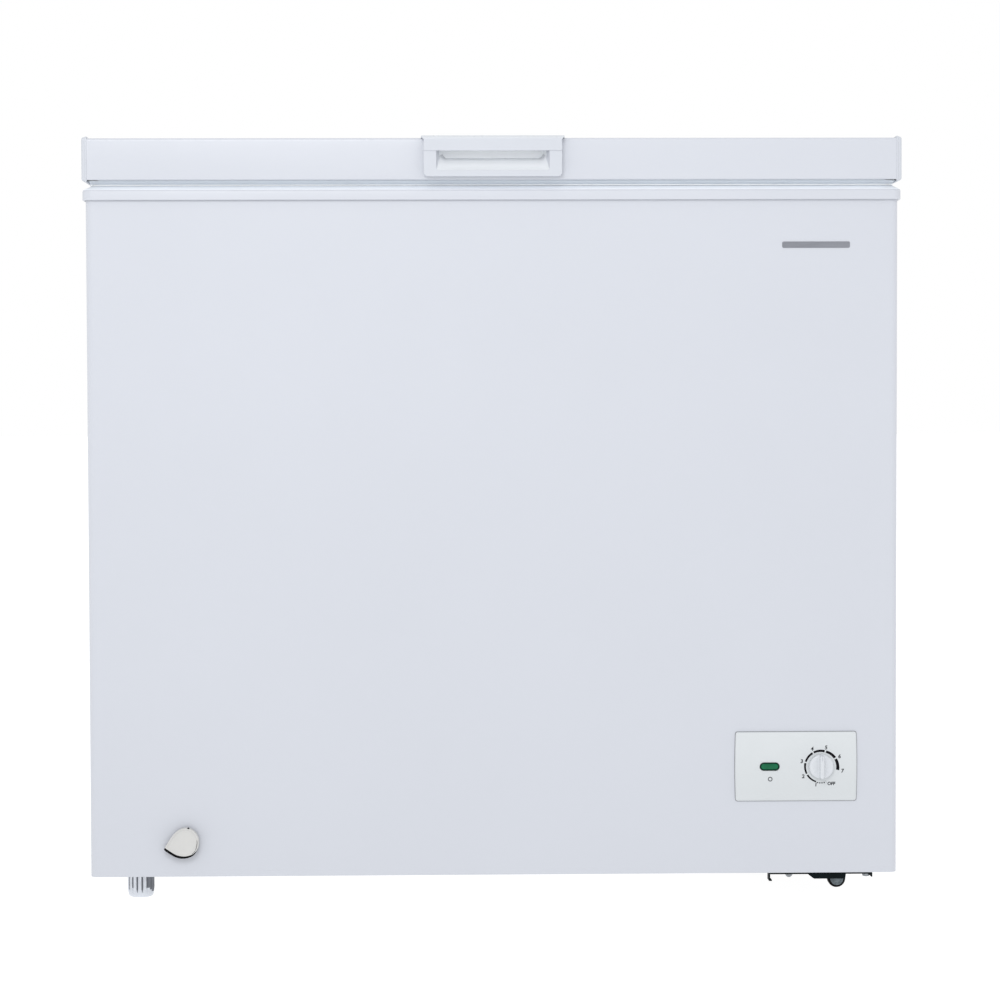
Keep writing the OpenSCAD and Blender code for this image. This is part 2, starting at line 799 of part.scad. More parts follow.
// Half profile of a domed shell from its crown at z0 to its rim at z1, with wall t
function dome_profile(z0, z1, r, t) =
    let (s = sign(z1 - z0))
    [[0, z0], [r - 24, z0], [r - 8, z0 + s * 8], [r, z0 + s * 26], [r, z1],
        [r - t, z1], [r - t, z0 + s * 27], [r - 8 - t, z0 + s * (8 + t)], [r - 25, z0 + s * t],
        [0, z0 + s * t]];

module compressor_lower_shell() {
    color(black) translate([comp_x, comp_y, 0])
        rotate_extrude() polygon(dome_profile(comp_z + 3, comp_seam_z, comp_r, 3));
}

// Upper shell, with the lip that laps round the lower one
module compressor_upper_shell() {
    color(black) translate([comp_x, comp_y, 0]) rotate_extrude() {
        polygon(dome_profile(comp_top_z, comp_seam_z, comp_r, 3));
        translate([comp_r - 1, comp_seam_z]) square([3, 5]);
    }
}

module compressor_feet() {
    color(black) translate([comp_x, comp_y, comp_z]) difference() {
        union() {
            box([-30, -98, 0], [30, 98, 3]);
            for (s = [-1, 1])
                box([-55, s * 84 - 14, 0], [55, s * 84 + 14, 3]);
        }
        for (p = comp_feet)
            translate([p.x, p.y, -1]) cylinder(h = 5, r = 7);
    }
}

module compressor_grommets() {
    color([0.15, 0.15, 0.15]) for (p = comp_feet)
        translate([comp_x + p.x, comp_y + p.y, 0]) difference() {
            union() {
                translate([0, 0, floor_gap]) cylinder(h = comp_z - floor_gap, r = 11);
                translate([0, 0, comp_z]) cylinder(h = 3, r = 7);
                translate([0, 0, comp_z + 3]) cylinder(h = 4, r = 10);
            }
            translate([0, 0, floor_gap - 1]) cylinder(h = comp_z - floor_gap + 20, r = 3);
        }
}

// Cover over the compressor's terminals
module terminal_cover() {
    x = comp_x - comp_r;
    color([0.12, 0.12, 0.13]) difference() {
        box([x - 26, comp_y - 28, 80], [x + 12, comp_y + 28, 138]);
        box([x - 24, comp_y - 26, 79], [x + 13, comp_y + 26, 136]);
        rod_z(comp_x, comp_y, comp_r + 2.2, 70, 150);
    }
}

module filter_drier() {
    x = 410;
    color(copper) translate([x, coil_y, 0]) {
        translate([0, -6, 65]) cylinder(h = 60, r = 9);
        translate([0, -6, 125]) cylinder(h = 14, r1 = 9, r2 = 3.4);
        translate([0, -6, 51]) cylinder(h = 14, r1 = 2, r2 = 9);
    }
}

module capillary_tube() {
    path = [[410, coil_y - 6, 51], [410, coil_y - 6, 44], [392, 208, 40], [310, 206, 44],
        [bay_x + 34, 204, 70], [bay_x + 34, suction_y, evap_low_z[0]],
        [bay_x + 30.2, suction_y, evap_low_z[0]]];
    color(copper) tube(eased(path, 1.6, 3), 1.3, 6);
}

// From the cold pipe down to the compressor's inlet
module suction_line() {
    path = [[suction_x, suction_y, bay_roof_z - 35], [suction_x, suction_y, 165],
        [suction_x, 165, 148], [suction_x, comp_y + comp_r - 0.8, 148]];
    color(copper) tube(eased(path, 12), 3);
}

// From the compressor's outlet to the warm pipe
module discharge_line() {
    path = [[comp_x - 10, comp_y + comp_r - 0.3, 100], [comp_x - 10, 150, 100], [320, 180, 88],
        [bay_x + 60, coil_y - 8, coil_z[0]], [bay_x + 50, coil_y, coil_z[0]],
        [bay_x + 38, coil_y, coil_z[0]]];
    color(copper) tube(eased(path, 4), 2.4);
}

module wiring_harness() {
    y0 = front_y + 34;
    path_a = [[knob_x, y0, panel_z], [knob_x, y0 + 30, panel_z], [300, -150, 180],
        [276, -60, 180], [276, 20, 150], [comp_x - comp_r - 12, comp_y - 18, 144],
        [comp_x - comp_r - 12, comp_y - 18, 138]];
    path_b = [[lamp_x, front_y + 24, panel_z], [lamp_x, front_y + 60, panel_z], [284, -150, 160],
        [276, -60, 168]];
    path_c = [[comp_x - comp_r - 12, comp_y + 18, 138], [comp_x - comp_r - 12, comp_y + 18, 146],
        [276, 110, 140], [276, 180, 90], [gland_x, 222, gland_z], [gland_x, back_y - 4, gland_z]];
    color([0.2, 0.2, 0.22]) {
        tube(eased(path_a, 3, 3), 3, 6);
        tube(eased(path_b, 3, 3), 2, 6);
        tube(eased(path_c, 3, 3), 3, 6);
    }
}

// ---------------------------------------------------------------- rear cover and fasteners

module rear_cover() {
    y0 = back_y;
    color(soft_white) difference() {
        box([cover_x[0], y0, cover_z[0]], [cover_x[1], y0 + 1.5, cover_z[1]]);
        for (i = [0:13], x = [0, 1])
            upright(y0 - 1, y0 + 3)
                translate([cover_x[0] + 48 + x * 64, 100 + i * 11.5]) capsule(52, 5);
        rod_y(gland_x, gland_z, 7, y0 - 1, y0 + 3);
        rear_screw_holes();
    }
}

module cord_gland() {
    color(black) difference() {
        union() {
            rod_y(gland_x, gland_z, 7, back_y - 4, back_y + 1.5);
            rod_y(gland_x, gland_z, 10, back_y + 1.5, back_y + 4);
            rod_y(gland_x, gland_z, 7.5, back_y + 4, back_y + 12);
        }
        rod_y(gland_x, gland_z, 3.6, back_y, back_y + 13);
    }
}

cover_screws = [for (x = [cover_x[0] + 5, cover_x[1] - 5], z = [cover_z[0] + 6, cover_z[1] - 6]) [x, z]];

module rear_screw_holes() {
    for (s = [-1, 1], p = hinge_screws)
        rod_y(s * hinge_x + p.x, hinge_z + p[1], 2, back_y - 8, back_y + 3);
    for (p = cover_screws)
        rod_y(p.x, p[1], 2, back_y - 8, back_y + 3);
}

module cabinet_screws() {
    color(zinc) {
        for (s = [-1, 1], p = hinge_screws)
            translate([s * hinge_x + p.x, back_y + 2, hinge_z + p[1]]) rotate([-90, 0, 0]) screw(length = 9);
        for (p = cover_screws)
            translate([p.x, back_y + 1.5, p[1]]) rotate([-90, 0, 0]) screw(length = 8);
    }
}

// ---------------------------------------------------------------- hinges

module hinge_bases() {
    y0 = back_y;
    y1 = hinge_y + 13;
    color(zinc) for (s = [-1, 1])
        translate([s * hinge_x, 0, 0]) difference() {
            union() {
                box([-cheek_x - cheek_t, y0, hinge_z - 122], [cheek_x + cheek_t, y0 + 2, foam_top_z - 2]);
                for (side = [-1, 1])
                    sideways(side * (cheek_x + 1) - 1, side * (cheek_x + 1) + 1) {
                        polygon([[y0, hinge_z - 122], [y0, foam_top_z - 2], [y0 + 6, foam_top_z - 2],
                            [y0 + 6, rim_z - 2], [y0 + 12, rim_z + 4], [y0 + 12, hinge_z], [y1, hinge_z],
                            [y1, hinge_z - 104], [y0 + 20, hinge_z - 122]]);
                        translate([hinge_y, hinge_z]) circle(r = 10);
                    }
                box([-cheek_x, y0 + 2, seat_z - 2], [cheek_x, y1 - 2, seat_z]);
            }
            rod_x(hinge_y, hinge_z, pin_r, -30, 30);
            for (p = hinge_screws)
                rod_y(p.x, hinge_z + p[1], 2, y0 - 1, y0 + 3);
        }
}

module hinge_pins() {
    reach = cheek_x + cheek_t;
    color(zinc) for (s = [-1, 1])
        translate([s * hinge_x, 0, 0]) {
            rod_x(hinge_y, hinge_z, pin_r, -reach, reach);
            for (side = [-1, 1])
                rod_x(hinge_y, hinge_z, 6, side * (reach + 1) - 1, side * (reach + 1) + 1);
        }
}

// Coil springs that carry the lid's weight
module hinge_springs() {
    turns = 11;
    low = seat_z + 1.3;
    high = plunger_z - 1.5;
    wire = 1.3;
    steps = turns * 10;
    path = [for (i = [0:steps])
        [7.2 * cos(360 * turns * i / steps), 7.2 * sin(360 * turns * i / steps),
            low + (high - low) * i / steps]];
    color(zinc) for (s = [-1, 1])
        translate([s * hinge_x, spring_y, 0]) tube(path, wire, 6);
}

// Sliding pins pushed up by the springs against the cams
module hinge_plungers() {
    color(grey) for (s = [-1, 1]) {
        rod_z(s * hinge_x, spring_y, 8.5, plunger_z, plunger_top_z);
        rod_z(s * hinge_x, spring_y, 4.5, seat_z + 22, plunger_z);
    }
}

// Lid half of each hinge: plate on the lid's back, two ears, barrel and cam
module hinge_leaves() {
    cam = [for (a = [0:10:cam_angle])
        let (h = cam_r - cam_slope * a * PI / 180)
            [hinge_y + h * sin(a) - cam_slope * cos(a), hinge_z - h * cos(a) - cam_slope * sin(a)]];
    color(zinc) for (s = [-1, 1])
        translate([s * hinge_x, 0, 0]) difference() {
            union() {
                box([-18, lid_back_y, lid_z + 3], [18, lid_back_y + 2, lid_top_z - 4]);
                for (side = [-1, 1])
                    sideways(side * 18.3 - 1.4, side * 18.3 + 1.4) {
                        polygon([[lid_back_y, hinge_z - 5], [hinge_y, hinge_z - 9],
                            [hinge_y, hinge_z + 9], [lid_back_y, hinge_z + 24]]);
                        translate([hinge_y, hinge_z]) circle(r = 9);
                    }
                sideways(-17.5, 17.5) translate([hinge_y, hinge_z]) circle(r = 6.5);
                sideways(-6, 6) polygon(concat(cam, [[hinge_y + 3, hinge_z + 2], [hinge_y - 4, hinge_z]]));
            }
            rod_x(hinge_y, hinge_z, pin_r + running, -30, 30);
            for (x = [-11, 11], z = [31, 37])
                if ((x < 0) == (z > 34)) rod_y(x, lid_z + z, 2, lid_back_y - 1, lid_back_y + 3);
        }
}

module lid_screws() {
    color(zinc) for (s = [-1, 1], x = [-11, 11])
        translate([s * hinge_x + x, lid_back_y + 2, lid_z + (x < 0 ? 37 : 31)])
            rotate([-90, 0, 0]) screw(length = 9);
}

module lid_screw_holes() {
    for (s = [-1, 1], x = [-11, 11])
        rod_y(s * hinge_x + x, lid_z + (x < 0 ? 37 : 31), 2, lid_back_y - 8, lid_back_y + 1);
}

// ---------------------------------------------------------------- lid

// Painted outer sheet of the lid, folded under along its edge
module lid_skin() {
    w = lid_w - 2 * cap_w;
    t = lid_skin_t;
    color(white) difference() {
        block(w, lid_d, 1.5, lid_z, lid_top_z);
        block(w - 2 * t, lid_d - 2 * t, 0.4, lid_z + t, lid_top_z - t);
        block(w - 2 * lid_fold, lid_d - 2 * lid_fold, 2, lid_z - 1, lid_z + 2 * t);
        box([-recess_w / 2 - cup_wall, lid_front_y - 1, handle_low_z + 4],
            [recess_w / 2 + cup_wall, lid_front_y + 2, cup_top_z]);
        lid_screw_holes();
    }
}

// Vacuum-formed inner tray of the lid
module lid_liner() {
    w = lid_w - 2 * cap_w - 2 * lid_fold;
    d = lid_d - 2 * lid_fold;
    t = lid_liner_t;
    color(soft_white) difference() {
        union() {
            block(w, d, 2, lid_z, lid_z + t);
            block(lid_recess_w + 2 * t, lid_recess_d + 2 * t, 22, lid_z, lid_z + lid_recess_h + t);
        }
        block(lid_recess_w, lid_recess_d, 20, lid_z - 1, lid_z + lid_recess_h);
    }
}

module lid_foam() {
    t = lid_skin_t;
    color([0.93, 0.86, 0.62]) difference() {
        block(lid_w - 2 * cap_w - 2 * t, lid_d - 2 * t, 0.4, lid_z + lid_liner_t, lid_top_z - t);
        block(lid_recess_w + 2 * lid_liner_t, lid_recess_d + 2 * lid_liner_t, 22, lid_z,
            lid_z + lid_recess_h + lid_liner_t);
        box([-recess_w / 2 - cup_wall, lid_front_y, handle_low_z + 4],
            [recess_w / 2 + cup_wall, cup_back_y, cup_top_z]);
        lid_screw_holes();
    }
}

// Magnetic seal: it widens upwards from its foot on the rim to its flange under the lid
module lid_gasket() {
    w = lid_w - 22;
    d = lid_d - 22;
    low = rim_z + gasket_clearance;
    color([0.62, 0.65, 0.68]) difference() {
        union() {
            block(w, d, 9, low, low + 1.5);
            block(w + 5, d + 5, 9, low + 1.5, low + 3.5);
            block(w + 10, d + 10, 9, low + 3.5, lid_z);
        }
        block(w - 34, d - 34, 4, low - 1, lid_z + 1);
    }
}

module lid_end_caps() {
    x = lid_w / 2 - cap_w;
    color(white) difference() {
        block(lid_w, lid_d, cap_w, lid_z - 2, lid_top_z + 2);
        box([-x, lid_front_y - 1, lid_z - 3], [x, lid_back_y + 1, lid_top_z + 3]);
    }
}

// Outline of the handle's front, from z0 to z1, round at its lower corners
module handle_front(z0, z1, r) {
    translate([-handle_w / 2, z0 + r]) square([handle_w, z1 - z0 - r]);
    translate([r - handle_w / 2, z0]) square([handle_w - 2 * r, r + 1]);
    for (s = [-1, 1])
        translate([s * (handle_w / 2 - r), z0 + r]) circle(r = r);
}

// Lower part of the handle with the finger cup let into the lid
module handle_body() {
    half = recess_w / 2;
    color(white) difference() {
        union() {
            upright(handle_front_y + 0.8, lid_front_y) handle_front(handle_low_z, hood_low_z, 4);
            box([-half - cup_wall, lid_front_y, handle_low_z + 4], [half + cup_wall, cup_back_y, cup_top_z]);
        }
        box([-half, handle_front_y - 1, recess_low_z], [half, lid_front_y + 0.5, hood_low_z + 1]);
        box([-half, lid_front_y, recess_low_z], [half, cup_back_y - cup_wall, cup_top_z - cup_wall]);
    }
}

// Upper part of the handle, a lip that hangs over the recess and laps onto the lid's top
module handle_hood() {
    half = recess_w / 2;
    color(white) difference() {
        union() {
            upright(handle_front_y, lid_front_y)
                polygon([[-handle_w / 2, hood_low_z], [handle_w / 2, hood_low_z],
                    [handle_w / 2 + 3, handle_top_z], [-handle_w / 2 - 3, handle_top_z]]);
            box([-handle_w / 2 - 3, lid_front_y - 1, lid_top_z], [handle_w / 2 + 3, lid_front_y + 8, handle_top_z]);
        }
        box([-half, handle_front_y + hood_lip_t, hood_low_z - 1], [half, lid_front_y + 1, cup_top_z]);
    }
}

// ---------------------------------------------------------------- basket

// Rim wire with its hooks, corner posts and foot wire
module basket_frame() {
    w = basket_w;
    d = basket_d;
    t = basket_wire;
    z = ledge_z + 0.3;
    translate([basket_x, body_y, 0]) color(white) {
        translate([0, 0, z]) linear_extrude(t) {
            difference() {
                rounded(w, d, 12);
                rounded(w - 2 * t, d - 2 * t, 8);
            }
            for (s = [-1, 1], x = [-64, 60])
                translate([x, s * (d / 2 + hook_reach / 2 - 1)]) square([t, hook_reach + 2], center = true);
            for (s = [-1, 1])
                translate([-2, s * (d / 2 + hook_reach - t / 2)]) square([128, t], center = true);
        }
        translate([0, 0, basket_low_z]) linear_extrude(t) difference() {
            rounded(w - 2 * t, d - 2 * t, 10);
            rounded(w - 4 * t, d - 4 * t, 6);
        }
        for (sx = [-1, 1], sy = [-1, 1])
            translate([sx * (w / 2 - 7), sy * (d / 2 - 7), basket_low_z])
                linear_extrude(z - basket_low_z) circle(r = 2.4);
    }
}

// Flat grid in the plane it is drawn in
module grid(w, h, nx, ny, t) {
    for (i = [0:nx])
        translate([-w / 2 + (w - t) * i / nx, 0]) square([t, h]);
    for (j = [0:ny])
        translate([-w / 2, (h - t) * j / ny]) square([w, t]);
}

module basket_mesh() {
    t = mesh_wire;
    low = basket_low_z + basket_wire;
    h = ledge_z + 0.3 - low;
    w = basket_w - 26;
    d = basket_d - 26;
    color(white) translate([basket_x, body_y, 0]) {
        for (s = [-1, 1]) {
            translate([0, s * (basket_d / 2 - 6), low]) upright(-t / 2, t / 2) grid(w, h, 8, 6, t);
            translate([s * (basket_w / 2 - 6), 0, low]) sideways(-t / 2, t / 2) grid(d, h, 14, 6, t);
        }
        translate([0, -d / 2 + 2, low]) linear_extrude(t) grid(w - 4, d - 4, 8, 14, t);
    }
}

// ---------------------------------------------------------------- nodes

outer_wrap();
rear_panel();
base_pan();
bay_partition();
foam_insulation();
inner_liner();
top_frame();
condenser_coil();
evaporator_coil();
drain_pipe();
drain_outlet();
drain_plug();
drain_spout();
drain_dial();
control_panel();
thermostat();
thermostat_shaft();
thermostat_knob();
indicator_lens();
indicator_lamp();
name_plate();
foot_brackets();
foot_stud_front();
foot_cap_front();
foot_stud_rear();
foot_cap_rear();
base_plate();
base_bolts();
roller_forks();
roller_axles();
roller_front();
roller_rear();
compressor_lower_shell();
compressor_upper_shell();
compressor_feet();
compressor_grommets();
terminal_cover();
filter_drier();
capillary_tube();
suction_line();
discharge_line();
wiring_harness();
cord_gland();
rear_cover();
cabinet_screws();
hinge_bases();
hinge_pins();
hinge_springs();
hinge_plungers();
hinge_leaves();
lid_screws();
lid_skin();
lid_liner();
lid_foam();
lid_gasket();
lid_end_caps();
handle_body();
handle_hood();
basket_frame();
basket_mesh();
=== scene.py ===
import json
from math import atan2, cos, hypot, pi, radians, sin

import bmesh
import bpy
from mathutils import Matrix, Vector


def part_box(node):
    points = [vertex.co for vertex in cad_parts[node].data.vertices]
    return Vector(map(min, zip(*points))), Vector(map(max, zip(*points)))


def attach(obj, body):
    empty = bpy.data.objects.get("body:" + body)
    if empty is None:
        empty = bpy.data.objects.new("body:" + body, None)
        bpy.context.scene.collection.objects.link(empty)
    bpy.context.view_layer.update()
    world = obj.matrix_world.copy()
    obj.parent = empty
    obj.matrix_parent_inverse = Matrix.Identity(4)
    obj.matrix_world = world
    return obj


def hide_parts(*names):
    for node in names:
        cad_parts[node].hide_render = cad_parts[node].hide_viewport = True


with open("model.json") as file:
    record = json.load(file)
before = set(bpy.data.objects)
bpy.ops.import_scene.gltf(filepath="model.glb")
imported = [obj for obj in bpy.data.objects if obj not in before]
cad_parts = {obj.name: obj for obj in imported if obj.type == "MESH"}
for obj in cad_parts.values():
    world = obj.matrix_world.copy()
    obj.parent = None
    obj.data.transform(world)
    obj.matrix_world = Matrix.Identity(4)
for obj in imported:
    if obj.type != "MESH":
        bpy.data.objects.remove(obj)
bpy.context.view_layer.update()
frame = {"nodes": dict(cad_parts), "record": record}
nodes = frame["nodes"]
MM = 0.001


def mm(node):
    """Lowest and highest corner of a CAD node in millimetres."""
    a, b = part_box(node)
    return a / MM, b / MM


def smooth(o, angle):
    """Smooth shading that stays sharp over edges steeper than an angle in degrees."""
    o.data.shade_smooth()
    o.data.set_sharp_from_angle(angle=radians(angle))


def add_object(name, data):
    """Object around a mesh, curve, light or camera, linked into the scene."""
    o = bpy.data.objects.new(name, data)
    bpy.context.scene.collection.objects.link(o)
    return o


# ------------------------------------------------------------------ materials

def node_material(name):
    m = bpy.data.materials.new(name)
    m.use_nodes = True
    t = m.node_tree
    b = next(n for n in t.nodes if n.type == "BSDF_PRINCIPLED")
    return m, t, b


def link(t, a, b):
    t.links.new(a, b)


def noise(t, coords, scale, detail=3.0, rough=0.5, stretch=None):
    n = t.nodes.new("ShaderNodeTexNoise")
    n.inputs["Scale"].default_value = scale
    n.inputs["Detail"].default_value = detail
    n.inputs["Roughness"].default_value = rough
    if stretch:
        m = t.nodes.new("ShaderNodeMapping")
        m.inputs["Scale"].default_value = stretch
        link(t, coords, m.inputs["Vector"])
        coords = m.outputs["Vector"]
    link(t, coords, n.inputs["Vector"])
    return n.outputs["Fac"]


def spread(t, fac, low, high, a=0.3, b=0.7):
    r = t.nodes.new("ShaderNodeMapRange")
    r.inputs["From Min"].default_value = a
    r.inputs["From Max"].default_value = b
    r.inputs["To Min"].default_value = low
    r.inputs["To Max"].default_value = high
    link(t, fac, r.inputs["Value"])
    return r.outputs["Result"]


def ramp(t, fac, c0, c1, a=0.35, b=0.65):
    r = t.nodes.new("ShaderNodeValToRGB")
    r.color_ramp.elements[0].position = a
    r.color_ramp.elements[1].position = b
    r.color_ramp.elements[0].color = (*c0, 1)
    r.color_ramp.elements[1].color = (*c1, 1)
    link(t, fac, r.inputs["Fac"])
    return r.outputs["Color"]


def bump(t, b, height, strength, distance, previous=None):
    n = t.nodes.new("ShaderNodeBump")
    n.inputs["Strength"].default_value = strength
    n.inputs["Distance"].default_value = distance
    link(t, height, n.inputs["Height"])
    if previous:
        link(t, previous, n.inputs["Normal"])
    link(t, n.outputs["Normal"], b.inputs["Normal"])
    return n.outputs["Normal"]


def surface(name, color, rough=0.4, vary=0.03, mottle=9.0, grain=900.0, grain_height=0.00002,
            grain_strength=0.15, wave=0.0, wave_scale=22.0, rough_vary=0.05, metallic=0.0, coat=0.0,
            coat_rough=0.1, specular=0.5, stretch=None, painted_shade=None):
    """Moulded, painted or metal surface: mottled colour, uneven gloss, fine grain, optional slow wave,
    optional painted shade that darkens the colour towards the bottom.
    """
    m, t, b = node_material(name)
    co = t.nodes.new("ShaderNodeTexCoord").outputs["Object"]
    dark = [c * (1 - vary) for c in color]
    light = [min(1.0, c * (1 + vary)) for c in color]
    tint = ramp(t, noise(t, co, mottle, 5.0, 0.6, stretch), dark, light)
    # painted shade: below height z0 the colour is multiplied by low, rising to full colour at z1
    if painted_shade:
        z0, z1, low = painted_shade
        xyz = t.nodes.new("ShaderNodeSeparateXYZ")
        link(t, co, xyz.inputs["Vector"])
        mix = t.nodes.new("ShaderNodeMix")
        mix.data_type, mix.blend_type = "RGBA", "MULTIPLY"
        mix.inputs[0].default_value = 1.0
        link(t, tint, mix.inputs[6])
        link(t, spread(t, xyz.outputs["Z"], low, 1.0, z0, z1), mix.inputs[7])
        tint = mix.outputs[2]
    link(t, tint, b.inputs["Base Color"])
    link(t, spread(t, noise(t, co, mottle * 7, 4.0, 0.6, stretch), rough - rough_vary, rough + rough_vary),
         b.inputs["Roughness"])
    normal = bump(t, b, noise(t, co, grain, 2.0, 0.5, stretch), grain_strength, grain_height)
    if wave:
        bump(t, b, noise(t, co, wave_scale, 2.0, 0.5), 0.5, wave, normal)
    b.inputs["Metallic"].default_value = metallic
    b.inputs["Coat Weight"].default_value = coat
    b.inputs["Coat Roughness"].default_value = coat_rough
    b.inputs["Specular IOR Level"].default_value = specular
    return m


def stucco(name, color):
    """Embossed aluminium sheet: a pebbled pattern of shallow cells."""
    m, t, b = node_material(name)
    co = t.nodes.new("ShaderNodeTexCoord").outputs["Object"]
    v = t.nodes.new("ShaderNodeTexVoronoi")
    v.feature = "SMOOTH_F1"
    v.inputs["Scale"].default_value = 210.0
    v.inputs["Randomness"].default_value = 0.9
    link(t, co, v.inputs["Vector"])
    link(t, ramp(t, noise(t, co, 6.0, 4.0), [c * 0.93 for c in color], color), b.inputs["Base Color"])
    link(t, spread(t, v.outputs["Distance"], 0.32, 0.46, 0.0, 0.7), b.inputs["Roughness"])
    bump(t, b, v.outputs["Distance"], 0.5, 0.0007)
    b.inputs["Metallic"].default_value = 0.55
    return m


def foam(name, color):
    m, t, b = node_material(name)
    co = t.nodes.new("ShaderNodeTexCoord").outputs["Object"]
    v = t.nodes.new("ShaderNodeTexVoronoi")
    v.inputs["Scale"].default_value = 600.0
    link(t, co, v.inputs["Vector"])
    link(t, ramp(t, noise(t, co, 30.0, 6.0), [c * 0.85 for c in color], color), b.inputs["Base Color"])
    b.inputs["Roughness"].default_value = 0.9
    bump(t, b, v.outputs["Distance"], 0.6, 0.0006)
    return m


def knurl_metal(name, color, rough, stretch=(1, 1, 30)):
    """Drawn or rolled metal with fine marks along one direction."""
    return surface(name, color, rough, vary=0.08, mottle=14.0, grain=260.0, grain_height=0.00003,
                   grain_strength=0.25, rough_vary=0.1, metallic=1.0, stretch=stretch)


def lens(name, color):
    m, t, b = node_material(name)
    co = t.nodes.new("ShaderNodeTexCoord").outputs["Object"]
    link(t, ramp(t, noise(t, co, 160.0, 2.0), [c * 0.75 for c in color], [c * 1.2 for c in color]),
         b.inputs["Base Color"])
    link(t, spread(t, noise(t, co, 90.0), 0.1, 0.2), b.inputs["Roughness"])
    bump(t, b, noise(t, co, 700.0), 0.1, 0.00002)
    b.inputs["Specular IOR Level"].default_value = 0.25
    b.inputs["Emission Color"].default_value = (0.0, 0.35, 0.16, 1)
    b.inputs["Emission Strength"].default_value = 0.12
    return m


MATS = {
    # the cabinet skin is darkened towards the bottom as painted shade
    "coated_steel": surface("coated_steel", (0.533, 0.555, 0.608), 0.36, vary=0.008, mottle=3.0,
                            grain=420.0, grain_height=0.00004, grain_strength=0.06, wave=0.00006,
                            wave_scale=30.0, rough_vary=0.04, coat=0.25, coat_rough=0.12,
                            painted_shade=(0.04, 0.55, 0.965)),
    "moulded_rim": surface("moulded_rim", (0.54, 0.562, 0.614), 0.38, vary=0.01, mottle=5.0, grain=1500.0,
                           grain_height=0.00001, grain_strength=0.1, wave=0.00003),
    "lid_plastic": surface("lid_plastic", (0.524, 0.548, 0.597), 0.36, vary=0.01, mottle=5.0, grain=1500.0,
                           grain_height=0.00001, grain_strength=0.1),
    # the control panel is darkened towards its bottom edge as painted shade
    "panel_plastic": surface("panel_plastic", (0.572, 0.60, 0.62), 0.5, vary=0.012, mottle=12.0, grain=1900.0,
                             grain_height=0.00003, grain_strength=0.3, painted_shade=(0.12, 0.18, 0.945)),
    "knob_plastic": surface("knob_plastic", (0.575, 0.60, 0.635), 0.3, vary=0.012, mottle=40.0, grain=1500.0,
                            grain_height=0.00001, grain_strength=0.1),
    "foot_plastic": surface("foot_plastic", (0.66, 0.69, 0.75), 0.3, mottle=60.0, grain=1200.0),
    "drain_plastic": surface("drain_plastic", (0.535, 0.535, 0.527), 0.42, vary=0.02, mottle=40.0,
                             grain=1200.0, grain_strength=0.2),
    "gasket_rubber": surface("gasket_rubber", (0.62, 0.665, 0.72), 0.55, vary=0.015, mottle=12.0, grain=800.0,
                             grain_height=0.00003, grain_strength=0.2),
    "dark_rubber": surface("dark_rubber", (0.02, 0.02, 0.022), 0.7, vary=0.2, mottle=60.0,
                           grain_height=0.00005, grain_strength=0.4),
    "stopper_rubber": surface("stopper_rubber", (0.11, 0.12, 0.13), 0.6, vary=0.1, mottle=60.0,
                              grain_height=0.00005, grain_strength=0.3),
    "zinc_steel": surface("zinc_steel", (0.55, 0.56, 0.57), 0.34, vary=0.14, mottle=90.0, grain=500.0,
                          grain_height=0.00003, grain_strength=0.2, rough_vary=0.1, metallic=0.9),
    "galvanised_sheet": surface("galvanised_sheet", (0.50, 0.52, 0.53), 0.42, vary=0.12, mottle=40.0,
                                grain=300.0, rough_vary=0.1, metallic=0.85),
    "black_steel": surface("black_steel", (0.003, 0.006, 0.007), 0.55, vary=0.2, mottle=30.0, grain=600.0,
                           grain_height=0.00004, grain_strength=0.25, rough_vary=0.08, specular=0.06),
    "black_plastic": surface("black_plastic", (0.015, 0.015, 0.016), 0.5, vary=0.15, mottle=40.0,
                             grain_height=0.00003, grain_strength=0.3),
    "roller_plastic": surface("roller_plastic", (0.004, 0.004, 0.005), 0.5, vary=0.2, mottle=80.0,
                              grain_height=0.00003, grain_strength=0.3, specular=0.1),
    "liner_aluminium": stucco("liner_aluminium", (0.72, 0.74, 0.76)),
    "tube_aluminium": knurl_metal("tube_aluminium", (0.66, 0.67, 0.69), 0.35),
    "tube_copper": knurl_metal("tube_copper", (0.52, 0.26, 0.16), 0.38),
    "insulation_foam": foam("insulation_foam", (0.80, 0.68, 0.36)),
    "lens_green": lens("lens_green", (0.0, 0.075, 0.028)),
    "lamp_housing": surface("lamp_housing", (0.55, 0.6, 0.57), 0.4, vary=0.05, mottle=60.0),
    "switch_housing": surface("switch_housing", (0.07, 0.07, 0.075), 0.5, vary=0.1, mottle=60.0),
    "badge_metal": surface("badge_metal", (0.22, 0.23, 0.26), 0.38, vary=0.06, mottle=30.0, grain=700.0,
                           grain_strength=0.25, rough_vary=0.06, metallic=0.6, stretch=(1, 1, 18)),
    "wire_coating": surface("wire_coating", (0.74, 0.75, 0.77), 0.3, vary=0.02, mottle=60.0,
                            grain_height=0.00003),
    "cable_sheath": surface("cable_sheath", (0.02, 0.02, 0.021), 0.5, vary=0.1, mottle=90.0,
                            grain_height=0.00003, grain_strength=0.2),
}
LENS_RIM = surface("lens_rim", (0.002, 0.022, 0.014), 0.35, vary=0.1, mottle=120.0, specular=0.15)
INK = surface("dial_ink", (0.004, 0.004, 0.006), 0.6, vary=0.15, mottle=300.0, specular=0.08)
# grey strip material: painted shade in the gap around the control panel
SEAM_SHADE = surface("seam_painted_shade", (0.2, 0.205, 0.22), 0.6, vary=0.1, mottle=300.0, specular=0.1)
FAINT_INK = surface("faint_ink", (0.02, 0.022, 0.026), 0.6, vary=0.1, mottle=300.0, specular=0.1)
FADED_INK = surface("faded_ink", (0.09, 0.093, 0.1), 0.6, vary=0.1, mottle=300.0, specular=0.1)
